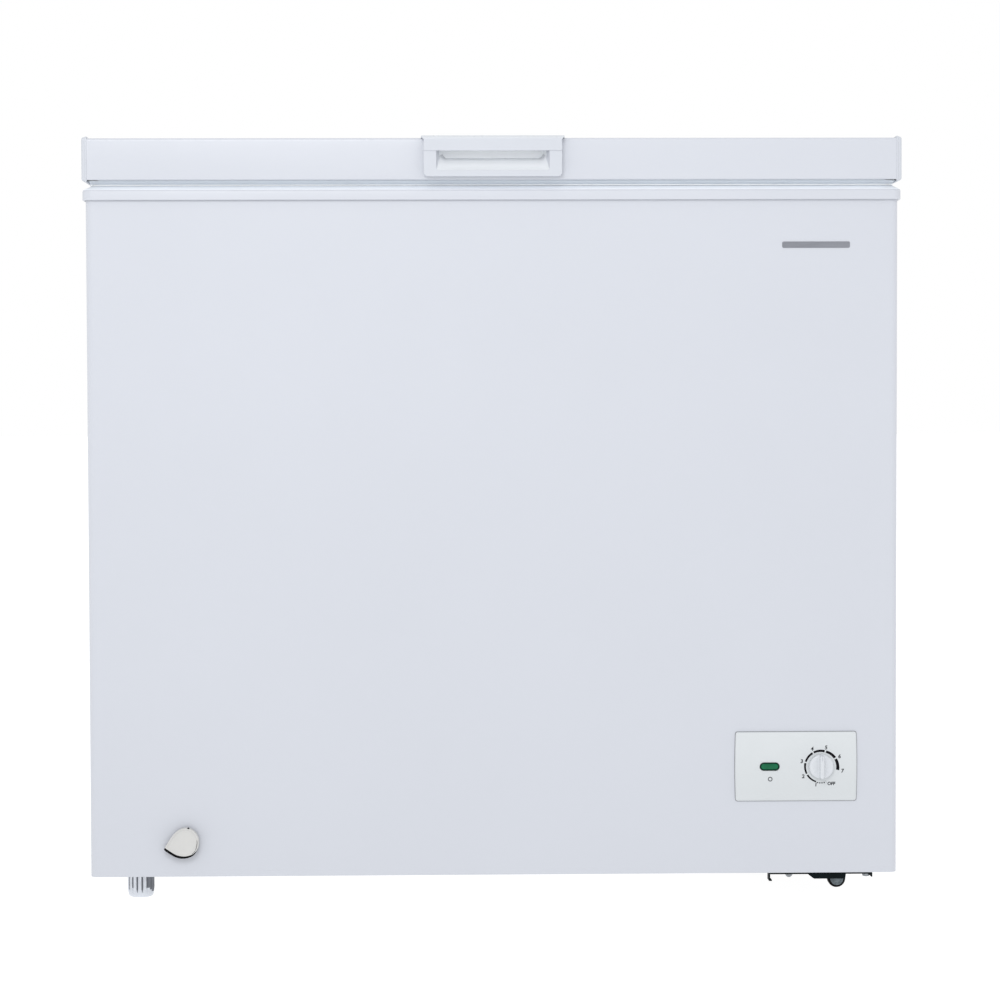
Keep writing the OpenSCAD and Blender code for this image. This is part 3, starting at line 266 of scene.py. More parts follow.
# lighter copy of the rim moulding: painted highlight on the rim's outer bevel
BEVEL_HIGHLIGHT = surface("bevel_painted_highlight", (0.76, 0.80, 0.855), 0.4, vary=0.01, mottle=8.0, grain=1500.0,
               grain_height=0.00001, grain_strength=0.1)
# much lighter copy of the seal rubber: painted light on the seal's lower lip, in the shaded gap under the lid
LIP_PAINTED_LIGHT = surface("gasket_lip_painted_light", (0.96, 0.98, 0.99), 0.5, vary=0.01, mottle=12.0, grain=800.0,
              grain_height=0.00003)
# lighter copy of the lid plastic: painted highlight on the handle scoop's rising floor
SCOOP_HIGHLIGHT = surface("scoop_painted_highlight", (0.655, 0.68, 0.715), 0.4, vary=0.01, mottle=8.0, grain=1500.0,
               grain_height=0.00001, grain_strength=0.1)
# very light copy of the lid plastic: painted fill light in the handle scoop's deep, shaded back
RECESS_FILL_LIGHT = surface("recess_painted_fill_light", (0.90, 0.93, 0.96), 0.4, vary=0.01, mottle=8.0, grain=1500.0,
                 grain_height=0.00001, grain_strength=0.1)
BOLT = surface("bolt_zinc", (0.30, 0.32, 0.34), 0.3, vary=0.2, mottle=120.0, grain=600.0,
               grain_height=0.00003, grain_strength=0.2, rough_vary=0.1, metallic=0.8)
FOOT_UPPER = surface("foot_upper", (0.67, 0.695, 0.75), 0.35, vary=0.12, mottle=90.0, grain=1200.0)
HUB = surface("hub_steel", (0.16, 0.19, 0.21), 0.45, vary=0.25, mottle=400.0, grain=700.0,
              grain_height=0.00004, grain_strength=0.3, rough_vary=0.1, metallic=0.2, specular=0.2)
# dark copy of the foot plastic: painted shade in the flutes and down the foot's right side
FOOT_SHADE = surface("foot_painted_shade", (0.18, 0.19, 0.215), 0.5, vary=0.1, mottle=90.0, specular=0.2)
# near-black: painted shade in the gaps round the drain cap, and the colour of the cap's dark mark
GAP_SHADE_AND_MARK = surface("gap_shade_and_mark", (0.004, 0.004, 0.005), 0.7, vary=0.2, mottle=90.0, specular=0.08)

slot_of = {s["node"]: s["material_slot"] for s in frame["record"]["subparts"]}
body_of = {n: b for b, ns in frame["record"]["behaviour"]["bodies"].items() for n in ns}
for n, o in nodes.items():
    o.data.materials.clear()
    o.data.materials.append(MATS[slot_of[n]])
    smooth(o, 28)


# ------------------------------------------------------------------ mesh tools

def mesh_from(name, verts, faces, weld=0.0):
    """Mesh from points in millimetres, normals outward; points nearer than weld metres are joined."""
    me = bpy.data.meshes.new(name)
    me.from_pydata([Vector(p) * MM for p in verts], [], faces)
    bm = bmesh.new()
    bm.from_mesh(me)
    if weld:
        bmesh.ops.remove_doubles(bm, verts=bm.verts, dist=weld)
    bmesh.ops.recalc_face_normals(bm, faces=bm.faces)
    bm.to_mesh(me)
    bm.free()
    return me


def make(name, shells, node, mat=None, replaces=(), sharp=30, bevel=0.0, segments=3):
    """One object from (verts, faces) shells, riding with a CAD node's body."""
    verts, faces = [], []
    for v, f in shells:
        k = len(verts)
        verts += v
        faces += [[i + k for i in g] for g in f]
    o = add_object(name, mesh_from(name, verts, faces, weld=1e-6))
    smooth(o, sharp)
    o.data.materials.append(mat or MATS[slot_of[node]])
    if bevel:
        add_bevel(o, bevel, segments)
    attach(o, body_of[node])
    if replaces:
        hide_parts(*replaces)
    return o


def add_bevel(o, width, segments=3, angle=30):
    m = o.modifiers.new("edges", "BEVEL")
    m.width = width * MM
    m.segments = segments
    m.limit_method = "ANGLE"
    m.angle_limit = radians(angle)
    m.harden_normals = True
    m.miter_outer = "MITER_ARC"
    return m


def paint(o, mat, test):
    """Gives the faces whose centre in millimetres passes a test another material."""
    o.data.materials.append(mat)
    for p in o.data.polygons:
        if test(p.center / MM, p.normal):
            p.material_index = len(o.data.materials) - 1


def cut(o, tool, how="DIFFERENCE"):
    """Booleans a tool mesh into an object and removes the tool."""
    m = o.modifiers.new("cut", "BOOLEAN")
    m.operation = how
    m.solver = "EXACT"
    m.object = tool
    bpy.context.view_layer.update()
    dg = bpy.context.evaluated_depsgraph_get()
    me = bpy.data.meshes.new_from_object(o.evaluated_get(dg))
    o.modifiers.remove(m)
    o.data = me
    bpy.data.objects.remove(tool, do_unlink=True)


def tool(shells):
    """A plain mesh object used only to cut another."""
    return add_object("tool", mesh_from("tool", *shells))


def loft(rings, loop=False):
    """Skin over rings of equally many points: capped at both ends, or closed on itself."""
    n = len(rings[0])
    verts = [p for r in rings for p in r]
    faces = []
    last = len(rings) if loop else len(rings) - 1
    for i in range(last):
        a, b = i * n, ((i + 1) % len(rings)) * n
        for k in range(n):
            j = (k + 1) % n
            faces.append([a + k, a + j, b + j, b + k])
    if not loop:
        faces.append(list(range(n - 1, -1, -1)))
        faces.append([(len(rings) - 1) * n + k for k in range(n)])
    return verts, faces


def rrect(w, d, r, n=6, cx=0.0, cy=0.0):
    """Rounded rectangle in a plane, anticlockwise; r is one radius or four."""
    rs = [r] * 4 if isinstance(r, (int, float)) else r
    pts = []
    for k, (sx, sy) in enumerate(((1, 1), (-1, 1), (-1, -1), (1, -1))):
        q = max(rs[k], 0.001)
        for i in range(n + 1):
            a = radians(90 * k + 90 * i / n)
            pts.append((cx + sx * (w / 2 - q) + q * cos(a), cy + sy * (d / 2 - q) + q * sin(a)))
    return pts


def flat(pts, z):
    """Outline laid level at a height."""
    return [(x, y, z) for x, y in pts]


def front(pts, y):
    """Outline facing the front at a depth."""
    return [(x, y, z) for x, z in pts]


def side(pts, x):
    """Outline facing the side at a distance from the middle."""
    return [(x, y, z) for y, z in pts]


def circle(r, n=48, cx=0.0, cy=0.0):
    return [(cx + r * cos(2 * pi * k / n), cy + r * sin(2 * pi * k / n)) for k in range(n)]


def arc(cx, cy, r, a0, a1, n=6):
    """Points on an arc from a0 to a1 degrees."""
    return [(cx + r * cos(radians(a0 + (a1 - a0) * i / n)), cy + r * sin(radians(a0 + (a1 - a0) * i / n)))
            for i in range(n + 1)]


def lathe(profile, centre, axis="z", n=64):
    """Profile of (radius, height) pairs turned about an axis through a point; closed on itself."""
    cx, cy, cz = centre
    rings = []
    for k in range(n):
        a = 2 * pi * k / n
        ring = []
        for r, h in profile:
            u, v = r * cos(a), r * sin(a)
            ring.append({"z": (cx + u, cy + v, cz + h), "y": (cx + u, cy + h, cz + v),
                         "x": (cx + h, cy + u, cz + v)}[axis])
        rings.append(ring)
    m = len(profile)
    verts = [p for r in rings for p in r]
    faces = []
    for k in range(n):
        a, b = k * m, ((k + 1) % n) * m
        for i in range(m - 1):
            if profile[i][0] < 1e-6 and profile[i + 1][0] < 1e-6:
                continue
            if profile[i][0] < 1e-6:
                faces.append([a + i, a + i + 1, b + i + 1])
            elif profile[i + 1][0] < 1e-6:
                faces.append([a + i, a + i + 1, b + i])
            else:
                faces.append([a + i, a + i + 1, b + i + 1, b + i])
        if profile[0][0] > 1e-6 and profile[-1][0] > 1e-6:
            faces.append([a + m - 1, a, b, b + m - 1])
    return verts, faces


def sweep(path, r, n=12, loop=False):
    """Round tube along a path of points, with slightly rounded ends."""
    pts = [Vector(p) for p in path]
    k = len(pts)
    tangents = []
    for i in range(k):
        a, b = (pts[(i + 1) % k], pts[i - 1]) if loop else (pts[min(i + 1, k - 1)], pts[max(i - 1, 0)])
        tangents.append((a - b).normalized())
    u = tangents[0].orthogonal().normalized()
    rings = []
    for i in range(k):
        u = (u - tangents[i] * u.dot(tangents[i])).normalized()
        w = tangents[i].cross(u)
        rings.append([pts[i] + r * (cos(2 * pi * j / n) * u + sin(2 * pi * j / n) * w) for j in range(n)])
    if not loop:
        for end, s in ((0, -1), (-1, 1)):
            c, t = pts[end], tangents[end] * s
            tip = [c + (p - c) * 0.7 + t * r * 0.25 for p in rings[end]]
            rings = [tip] + rings if end == 0 else rings + [tip]
    return loft(rings, loop=loop)


def eased(points, r, n=5):
    """A path whose corners are rounded over a distance r."""
    p = [Vector(q) for q in points]
    out = [p[0]]
    for i in range(1, len(p) - 1):
        a = p[i] + (p[i - 1] - p[i]).normalized() * min(r, (p[i - 1] - p[i]).length * 0.49)
        b = p[i] + (p[i + 1] - p[i]).normalized() * min(r, (p[i + 1] - p[i]).length * 0.49)
        for k in range(n + 1):
            t = k / n
            out.append((1 - t) ** 2 * a + 2 * t * (1 - t) * p[i] + t * t * b)
    return out + [p[-1]]


def prism(pts, place, a, b):
    """Outline carried from a to b by a placing function such as front or side."""
    return loft([place(pts, a), place(pts, b)])


def cuboid(a, b):
    return prism([(a[0], a[1]), (b[0], a[1]), (b[0], b[1]), (a[0], b[1])], flat, a[2], b[2])


# ------------------------------------------------------------------ cabinet

low, high = mm("outer_wrap")
cy = (low.y + high.y) / 2
W, D = high.x - low.x, high.y - low.y
R = 8.0


def cabinet_ring(inset, z):
    """Outline of the skin at a height, drawn in by a distance."""
    return flat(rrect(W - 2 * inset, D - 2 * inset, max(R - inset, 0.6), 8, 0, cy), z)


wrap = make("outer_wrap_skin", [loft([
    cabinet_ring(24.0, low.z + 0.2), cabinet_ring(24.0, low.z), cabinet_ring(0.7, low.z),
    cabinet_ring(0.3, low.z + 0.1), cabinet_ring(0.08, low.z + 0.35), cabinet_ring(0.0, low.z + 0.8),
    cabinet_ring(0.0, high.z), cabinet_ring(1.0, high.z), cabinet_ring(1.0, low.z + 1.0),
    cabinet_ring(24.0, low.z + 1.0)], loop=True)],
    "outer_wrap", replaces=["outer_wrap"], sharp=40)
x0, x1 = mm("rear_panel")[0].x, mm("rear_panel")[1].x
cut(wrap, tool(cuboid((x0, high.y - 5, low.z - 2), (x1, high.y + 2, high.z + 5))))
drain = (mm("drain_outlet")[0] + mm("drain_outlet")[1]) / 2
cut(wrap, tool(prism(circle(7.6, 48, drain.x, drain.z), front, cy - D / 2 - 2, cy - D / 2 + 3)))
smooth(wrap, 40)

# ------------------------------------------------------------------ rim

low, high = mm("top_frame")
W2, D2 = high.x - low.x, high.y - low.y
T = high.z
S = T - 16
tank_low, tank_high = mm("inner_liner")
TW, TD = tank_high.x - tank_low.x - 20, tank_high.y - tank_low.y - 20
ledge = T - 11


def rim_ring(inset, z, r=11.5):
    """Outline of the rim's outer side, drawn in by a distance."""
    return flat(rrect(W2 - 2 * inset, D2 - 2 * inset, max(r - inset, 0.8), 10, 0, cy), z)


def tank_ring(grow, z):
    """Outline of the tank's mouth, grown by a distance."""
    return flat(rrect(TW + 2 * grow, TD + 2 * grow, 25 + grow, 10, 0, cy), z)


bevel_out, bevel_drop = 10.0, 4.9
rim = make("rim", [loft([
    rim_ring(2.5, S + 0.4), rim_ring(2.1, S), rim_ring(0.5, S), rim_ring(0.1, S + 0.3),
    rim_ring(0.0, S + 1.0), rim_ring(0.0, T - bevel_drop - 1.4), rim_ring(0.1, T - bevel_drop - 1.0),
    rim_ring(0.55, T - bevel_drop - 0.75), rim_ring(0.6, T - bevel_drop - 0.25),
    rim_ring(0.35, T - bevel_drop + 0.1), rim_ring(0.75, T - bevel_drop + 0.6),
    rim_ring(bevel_out - 0.9, T - 0.5), rim_ring(bevel_out - 0.3, T - 0.12), rim_ring(bevel_out + 0.6, T),
    tank_ring(12.6, T), tank_ring(11.9, T - 0.2), tank_ring(11.5, T - 0.9),
    tank_ring(11.2, ledge + 1.2), tank_ring(10.8, ledge + 0.3), tank_ring(9.8, ledge),
    tank_ring(-1.2, ledge), tank_ring(-2.1, ledge - 0.3), tank_ring(-2.5, ledge - 1.1),
    tank_ring(-2.5, ledge - 15.6), tank_ring(-2.1, ledge - 16.0), tank_ring(-0.3, ledge - 16.0),
    tank_ring(0.0, ledge - 15.6), tank_ring(0.0, ledge - 2.5), tank_ring(13.0, ledge - 2.5),
    tank_ring(14.0, ledge - 1.5), tank_ring(14.0, T - 2.5), rim_ring(10.8, T - 2.5),
    rim_ring(2.5, T - 8.5)], loop=True)],
    "top_frame", replaces=["top_frame"], sharp=50)
# the rim's outer bevel gets the painted highlight
paint(rim, BEVEL_HIGHLIGHT, lambda c, n: c.z > T - bevel_drop + 0.3 and 0.1 < n.z < 0.97
      and max(abs(c.x) / (W2 / 2), abs(c.y - cy) / (D2 / 2)) > 0.95)

# ------------------------------------------------------------------ lid

low, high = mm("lid_skin")
LX, LY0, LY1, LZ, LT = high.x, low.y, high.y, low.z, high.z


def lid_profile(inset=0.0):
    """Outline of the lid's sheet seen from the side: rolled top edges, folded lower ones."""
    i = inset
    return ([(LY0 + 14, LZ + i), (LY0 + 2.0, LZ + i)] + arc(LY0 + 1.6, LZ + 1.6, 1.6 - i, 270, 180, 4)
            + arc(LY0 + 3.0, LT - 3.0, 3.0 - i, 180, 90, 7)
            + arc(LY1 - 3.0, LT - 3.0, 3.0 - i, 90, 0, 7)
            + arc(LY1 - 1.6, LZ + 1.6, 1.6 - i, 0, -90, 4) + [(LY1 - 2.0, LZ + i), (LY1 - 14, LZ + i)])


outer = lid_profile()
inner = [(y, z) for y, z in lid_profile(1.0)][::-1]
lid = make("lid_sheet", [loft([side(outer + inner, x) for x in (-LX, LX)])],
           "lid_skin", replaces=["lid_skin"], sharp=35)
h_low, h_high = mm("handle_body")
cut(lid, tool(cuboid((-66, LY0 - 5, h_low.z + 4), (66, LY0 + 4, h_high.z - 1))))
smooth(lid, 35)
FOLD = 12.5  # width of the sheet's turned-in edge
make("lid_sheet_folds", [cuboid((x, LY0 + 1, LZ), (x + FOLD, LY1 - 1, LZ + 1)) for x in (-LX, LX - FOLD)],
     "lid_skin")

# moulded ends of the lid: a raised bead against the sheet, rounded outer edge
c_low, c_high = mm("lid_end_caps")
CX, CZ0, CZ1 = c_high.x, c_low.z, c_high.z


def cap_outline(inset):
    """Outline of a lid end seen from the side, drawn in by a distance."""
    return rrect(c_high.y - c_low.y - 2 * inset, CZ1 - CZ0 - 2 * inset, max(3.2 - inset, 0.6), 6,
                 (c_low.y + c_high.y) / 2, (CZ0 + CZ1) / 2)


caps = []
w = CX - LX
for s in (-1, 1):
    caps.append(loft([side(cap_outline(i), s * (CX - w + x)) for x, i in (
        (0.0, 0.7), (0.0, 0.35), (0.35, 0.0), (1.6, 0.0), (1.95, 0.3), (2.15, 0.7), (2.6, 0.75),
        (3.2, 0.75), (4.4, 1.0), (5.2, 1.6), (5.75, 2.5), (6.0, 3.6))]))
make("lid_ends", caps, "lid_end_caps", replaces=["lid_end_caps"], sharp=40)

# ------------------------------------------------------------------ handle

hw = h_high.x
HY0 = h_low.y
HZ0 = h_low.z
hood_low, hood_high = mm("handle_hood")
hood_z, HT = hood_low.z, hood_high.z
cup_back = h_high.y
cup_top = h_high.z
outline = ([(-hw, hood_z), (-hw, HZ0 + 4.5)] + arc(-hw + 4.5, HZ0 + 4.5, 4.5, 180, 270, 6)
           + arc(hw - 4.5, HZ0 + 4.5, 4.5, 270, 360, 6) + [(hw, hood_z)])
handle = make("handle_lower", [prism(outline, front, HY0 + 0.8, LY0)], "handle_body",
              replaces=["handle_body"])
cut(handle, tool(cuboid((-66, LY0 - 0.01, HZ0 + 4), (66, cup_back, cup_top))), "UNION")

# the scoop for the fingers, cut in rings from front to back: (depth, in from the sides, floor's rise, corner)
RW = 62.5
RZ = h_low.z + 6.6
SCOOP = [(-1.0, -0.4, -0.4, 3.2), (0.9, 0.0, 0.0, 3.2), (1.8, 0.5, 0.5, 3.8), (4.0, 1.2, 3.4, 5.5),
         (6.5, 2.2, 7.6, 6.2), (9.0, 3.4, 11.0, 6.4), (11.0, 4.2, 12.6, 6.2), (13.5, 4.8, 13.4, 6.0)]
roof = cup_top - 3.5
scoop = []
for depth, in_x, rise, corner in SCOOP:
    z = RZ + rise
    q = min(corner, roof - z - 0.9)
    scoop.append(front(rrect(2 * (RW - in_x), roof - z, [0.6, 0.6, q, q], 6, 0, (roof + z) / 2), HY0 + depth))
scoop.append(front(rrect(2 * (RW - 7.0), roof - z - 0.8, [0.6, 0.6, q, q], 6, 0, (roof + z + 0.8) / 2),
                   HY0 + 16.5))
cut(handle, tool(loft(scoop)))
# painted highlight on the scoop's upward-facing floor
paint(handle, SCOOP_HIGHLIGHT, lambda c, n: HY0 + 1.0 < c.y < HY0 + 17 and abs(c.x) < RW + 1 and c.z > RZ - 0.2
      and n.z > 0.3)
# painted fill light on the scoop's deep back wall and roof, which lie in shade
paint(handle, RECESS_FILL_LIGHT, lambda c, n: HY0 + 8.0 < c.y < HY0 + 17 and abs(c.x) < RW and c.z > RZ + 8
      and n.z <= 0.3)
add_bevel(handle, 0.7, 3, 40)

bar = ([(-hw - 2.4, HT), (-hw - 2.4, HT - 1.8), (-hw, HT - 4.4)]
       + arc(-hw + 1.2, hood_z + 1.2, 1.2, 180, 270, 4) + arc(hw - 1.2, hood_z + 1.2, 1.2, 270, 360, 4)
       + [(hw, HT - 4.4), (hw + 2.4, HT - 1.8), (hw + 2.4, HT)])
hood = make("handle_lip", [prism(bar, front, HY0, LY0)], "handle_hood", replaces=["handle_hood"])
cut(hood, tool(cuboid((hood_low.x, LY0 - 2, LT), (hood_high.x, hood_high.y, HT))), "UNION")
cut(hood, tool(cuboid((-RW, HY0 + 3.5, hood_z - 2), (RW, LY0 + 1, cup_top - 0.5))))
nose = ([(HY0, hood_z - 1)] + arc(HY0 + 4.4, HT - 4.4, 4.4, 180, 90, 10)
        + [(hood_high.y, HT), (hood_high.y, hood_z - 1)])
cut(hood, tool(prism(nose, side, -90, 90)), "INTERSECT")
# the hood's upward-facing rounding takes the knob's lighter plastic as a painted highlight
paint(hood, MATS["knob_plastic"], lambda c, n: n.z > 0.3 and c.y < LY0 + 1)
add_bevel(hood, 0.45, 3, 40)

# ------------------------------------------------------------------ gasket

g_low, g_high = mm("lid_gasket")
GZ0, GZ1 = g_low.z, g_high.z


def gasket_ring(inset, z):
    """Loop of the seal, drawn in from the lid's edge."""
    side = min(inset, 8.2) if inset < 15 else inset
    return flat(rrect(W2 - 2 * side, D2 - 2 * inset, max(11.5 - inset, 5.0), 8, 0, cy), z)


gasket = make("gasket", [loft([gasket_ring(i, z) for i, z in (
    (11.5, GZ0), (10.9, GZ0 + 0.15), (10.7, GZ0 + 0.6), (10.9, GZ0 + 1.15), (11.7, GZ0 + 1.45),
    (11.0, GZ0 + 1.9), (9.4, GZ0 + 2.8), (7.7, GZ0 + 3.8), (6.5, GZ1 - 1.2), (6.1, GZ1 - 0.8),
    (6.6, GZ1 - 0.5), (6.4, GZ1), (27.4, GZ1), (27.4, GZ1 - 0.9), (24.6, GZ0 + 3.9), (26.4, GZ0 + 3.0),
    (26.4, GZ0 + 2.4), (24.4, GZ0 + 1.9), (23.8, GZ0 + 1.0), (24.2, GZ0))], loop=True)],
    "lid_gasket", replaces=["lid_gasket"], sharp=60)
# the front of the seal's lower lip gets the painted light
paint(gasket, LIP_PAINTED_LIGHT, lambda c, n: c.z < GZ0 + 1.5 and c.y < cy - D2 / 2 + 14)

# ------------------------------------------------------------------ lid's inner tray

l_low, l_high = mm("lid_liner")
LW, LD = l_high.x - l_low.x, l_high.y - l_low.y
tray = []
for w, d, r, z in (
        (LW, LD, 3, l_low.z + 2.0), (LW, LD, 3, l_low.z + 0.5), (LW - 1, LD - 1, 3, l_low.z),
        (824, 434, 23, l_low.z), (821, 431, 21.5, l_low.z + 0.3), (819.4, 429.4, 20.7, l_low.z + 1.2),
        (817, 427, 20, l_low.z + 5.5), (814, 424, 18.5, l_low.z + 7.4), (809, 419, 17, l_low.z + 8.0),
        (770, 380, 16, l_low.z + 8.0), (766, 376, 15, l_low.z + 7.6), (762, 372, 14, l_low.z + 6.4),
        (757, 367, 13, l_low.z + 6.0)):
    tray.append(flat(rrect(w, d, r, 8, 0, cy), z))
back = [flat(rrect(w, d, r, 8, 0, cy), z) for w, d, r, z in (
    (757, 367, 13, l_low.z + 8.0), (822, 432, 21, l_high.z), (824, 434, 22, l_high.z - 1),
    (824, 434, 22, l_low.z + 2.0))]
make("lid_tray", [loft(tray + back, loop=True), loft(
    [flat(rrect(757.2, 367.2, 13, 8, 0, cy), z) for z in (l_low.z + 6.0, l_low.z + 8.0)])],
    "lid_liner", replaces=["lid_liner"], sharp=50)

# ------------------------------------------------------------------ control panel

FY = mm("outer_wrap")[0].y
p_low, p_high = mm("control_panel")
PX, PZ, PY = (p_low.x + p_high.x) / 2, (p_low.z + p_high.z) / 2, p_low.y
PW, PH = p_high.x - p_low.x, p_high.z - p_low.z
k_low, k_high = mm("thermostat_knob")
KX, KR = (k_low.x + k_high.x) / 2, (k_high.x - k_low.x) / 2
KR -= 1.3
i_low, i_high = mm("indicator_lens")
IX = (i_low.x + i_high.x) / 2


def dense(pts, step=4.0):
    out = []
    for a, b in zip(pts, pts[1:] + pts[:1]):
        n = max(1, int(hypot(b[0] - a[0], b[1] - a[1]) / step))
        out += [(a[0] + (b[0] - a[0]) * i / n, a[1] + (b[1] - a[1]) * i / n) for i in range(n)]
    return out


PANEL_EDGE = dense(rrect(PW, PH, 2.5, 6))


def panel_ring(inset, y):
    """Edge of the panel drawn in by an inset; its ends bow out a little at mid-height."""
    ring = []
    for x, z in PANEL_EDGE:
        bow = 0.8 * (z / (PH / 2)) ** 2
        ring.append((PX + (x - (bow if x > 0 else -bow) * abs(x) / (PW / 2)) * (1 - 2 * inset / PW), y,
                     PZ + z * (1 - 2 * inset / PH)))
    return ring


panel = make("panel_face", [
    loft([panel_ring(i, y) for i, y in (
        (2.2, FY), (0.0, FY), (0.0, PY + 2.0), (0.12, PY + 1.4), (0.45, PY + 0.95), (1.1, PY + 0.62),
        (2.2, PY + 0.36), (4.2, PY + 0.14), (7.0, PY + 0.03), (10.0, PY))])],
    "control_panel", replaces=["control_panel"], sharp=50)
cut(panel, tool(prism(rrect(22.4, 9.4, 4.7, 10, IX, PZ), front, PY - 2, FY + 2)))
cut(panel, tool(prism(circle(5.2, 40, KX, PZ), front, PY - 2, FY + 2)))
smooth(panel, 50)
# thin grey strip round the panel's edge: painted shade of the gap between panel and cabinet
make("panel_seam_shade", [loft([[(PX + (x - PX) * (PW + 2 * g) / PW, y, PZ + (z - PZ) * (PH + 2 * g) / PH)
                          for x, _, z in panel_ring(0, 0)] for g, y in (
    (-1.5, FY), (0.5, FY), (0.5, FY - 0.3), (-1.5, FY - 0.3))], loop=True)], "control_panel", mat=SEAM_SHADE)
ribs = []
for a, b in (((-62, -33), (62, -31)), ((-62, 31), (62, 33)), ((-61.8, -31.6), (-60.2, 31.6)),
             ((60.2, -31.6), (61.8, 31.6))):
    ribs.append(cuboid((PX + a[0], FY, PZ + a[1]), (PX + b[0], FY + 12, PZ + b[1])))
make("panel_ribs", ribs, "control_panel", bevel=0.3)

# lens: dark bezel and a domed green window
make("lens_bezel", [loft([front(rrect(22 - 2 * i, 9 - 2 * i, 4.5 - i, 10, IX, PZ), y) for i, y in (
    (0.0, FY), (0.0, i_low.y + 0.5), (0.15, i_low.y + 0.15), (0.4, i_low.y), (0.7, i_low.y + 0.02),
    (1.2, i_low.y + 0.3), (1.35, FY - 1.2), (1.35, FY))], loop=True)],
    "indicator_lens", mat=LENS_RIM, replaces=["indicator_lens"], sharp=50)
make("lens_window", [loft([front(rrect(19.3 - 2 * i, 6.3 - 2 * i, 3.15 - i, 10, IX, PZ), y) for i, y in (
    (0.0, FY), (0.0, i_low.y + 0.9), (0.3, i_low.y + 0.55), (0.9, i_low.y + 0.3), (1.8, i_low.y + 0.17),
    (2.8, i_low.y + 0.12))])], "indicator_lens", sharp=60)


# ink: thin prints standing proud of the panel
INK_BACK, INK_FACE = PY + 0.05, PY - 0.06


def stroke(cx, cz, r0, r1, w0, w1, a0, a1, n=24):
    """Arc print from angle a0 to a1, clockwise from straight down, with growing width."""
    rings = []
    for k in range(n + 1):
        f = k / n
        a, r, w = radians(a0 + (a1 - a0) * f), r0 + (r1 - r0) * f, w0 + (w1 - w0) * f
        rings.append([(cx - q * sin(a), y, cz - q * cos(a)) for q, y in (
            (r - w / 2, INK_BACK), (r + w / 2, INK_BACK), (r + w / 2, INK_FACE), (r - w / 2, INK_FACE))])
    return loft(rings)


def lettering(text, x, z, size, shear=0.0):
    """Flat figures as a thin mesh shell facing the front."""
    c = bpy.data.curves.new("figures", "FONT")
    c.body, c.size, c.align_x, c.align_y = text, size, "CENTER", "CENTER"
    c.extrude, c.resolution_u, c.shear, c.offset = 0.06, 4, shear, 0.2
    o = bpy.data.objects.new("figures", c)
    bpy.context.scene.collection.objects.link(o)
    bpy.context.view_layer.update()
    me = o.to_mesh()
    shell = ([(x + v.co.x, PY - v.co.z, z + v.co.y) for v in me.vertices],
             [list(p.vertices) for p in me.polygons])
    o.to_mesh_clear()
    bpy.data.objects.remove(o, do_unlink=True)
    return shell


marks = [18, 60.5, 104.6, 150, 196, 241, 282.4]
widths = [1.7, 2.0, 2.2, 2.4, 2.7, 3.1, 3.7]
radii = [17.9, 17.9, 17.8, 17.5, 17.3, 18.2, 19.0]
ring_print = []
for k in range(6):
    ring_print.append(stroke(KX, PZ, radii[k], radii[k + 1], widths[k], widths[k + 1],
                             marks[k] + (2.4 if k else 0), marks[k + 1] - (2.4 if k < 5 else 0)))
for a in (-11, -3.5, 4, 11.5):
    x, z = KX - 18.5 * sin(radians(a)), PZ - 18.5 * cos(radians(a))
    ring_print.append(prism(rrect(1.25, 1.45, 0.3, 3, x, z), front, INK_FACE, INK_BACK))
make("dial_ring_print", ring_print, "control_panel", mat=INK, sharp=40)
figures = []
for k, (a, r) in enumerate(zip(marks, (21.2, 22.9, 22.3, 21.9, 21.6, 23.2, 24.4))):
    a += (-2, 0, 0, 3, -1, 1, 0)[k]
    figures.append(lettering(str(k + 1), KX - r * sin(radians(a)), PZ - r * cos(radians(a)), 5.8, 0.1))
figures.append(lettering("OFF", KX + 11.4, PZ - 19.4, 4.9, 0.1))
figures.append(stroke(KX, PZ, 16.6, 19.6, 0.35, 0.35, -17, -20.5, 6))
make("dial_figures", figures, "control_panel", mat=FAINT_INK, sharp=40)
make("lamp_symbol", [loft([front(circle(r, 32, IX + 0.6, PZ - 14.0), y) for r, y in (
    (2.6, INK_BACK), (2.6, INK_FACE), (1.6, INK_FACE), (1.6, INK_BACK))], loop=True)],
    "control_panel", mat=FADED_INK, sharp=40)

# knob: flanged disc with a waisted grip across it
y1 = k_high.y
knob = make("knob", [lathe([(0, y1), (KR - 0.5, y1), (KR - 0.1, y1 - 0.35), (KR, y1 - 0.9), (KR, y1 - 3.2),
                            (KR - 0.25, y1 - 4.2), (KR - 0.9, y1 - 4.95), (KR - 1.9, y1 - 5.4),
                            (KR - 3.4, y1 - 5.5), (KR - 5.5, y1 - 5.3), (0, y1 - 4.9)],
                            (KX, 0, PZ), "y", 96)],
            "thermostat_knob", replaces=["thermostat_knob"], sharp=40)
grip = [front(rrect(2 * w, 2 * h, w * 0.98, 8, KX, PZ), y) for w, h, y in (
    (4.4, 13.3, y1 - 4.0), (3.9, 13.25, y1 - 5.4), (2.9, 13.2, y1 - 6.1), (2.45, 13.1, y1 - 7.2),
    (2.3, 12.9, y1 - 9.0), (2.2, 12.7, k_low.y + 0.9), (1.9, 12.4, k_low.y + 0.3), (1.4, 11.9, k_low.y))]
cut(knob, tool(loft(grip)), "UNION")
cut(knob, tool(cuboid((KX - 0.45, k_low.y - 1, PZ + 7.5), (KX + 0.45, k_low.y + 0.5, PZ + 15))))
cut(knob, tool(prism(circle(3.05, 32, KX, PZ), front, y1 - 6.6, y1 + 1)))
smooth(knob, 40)

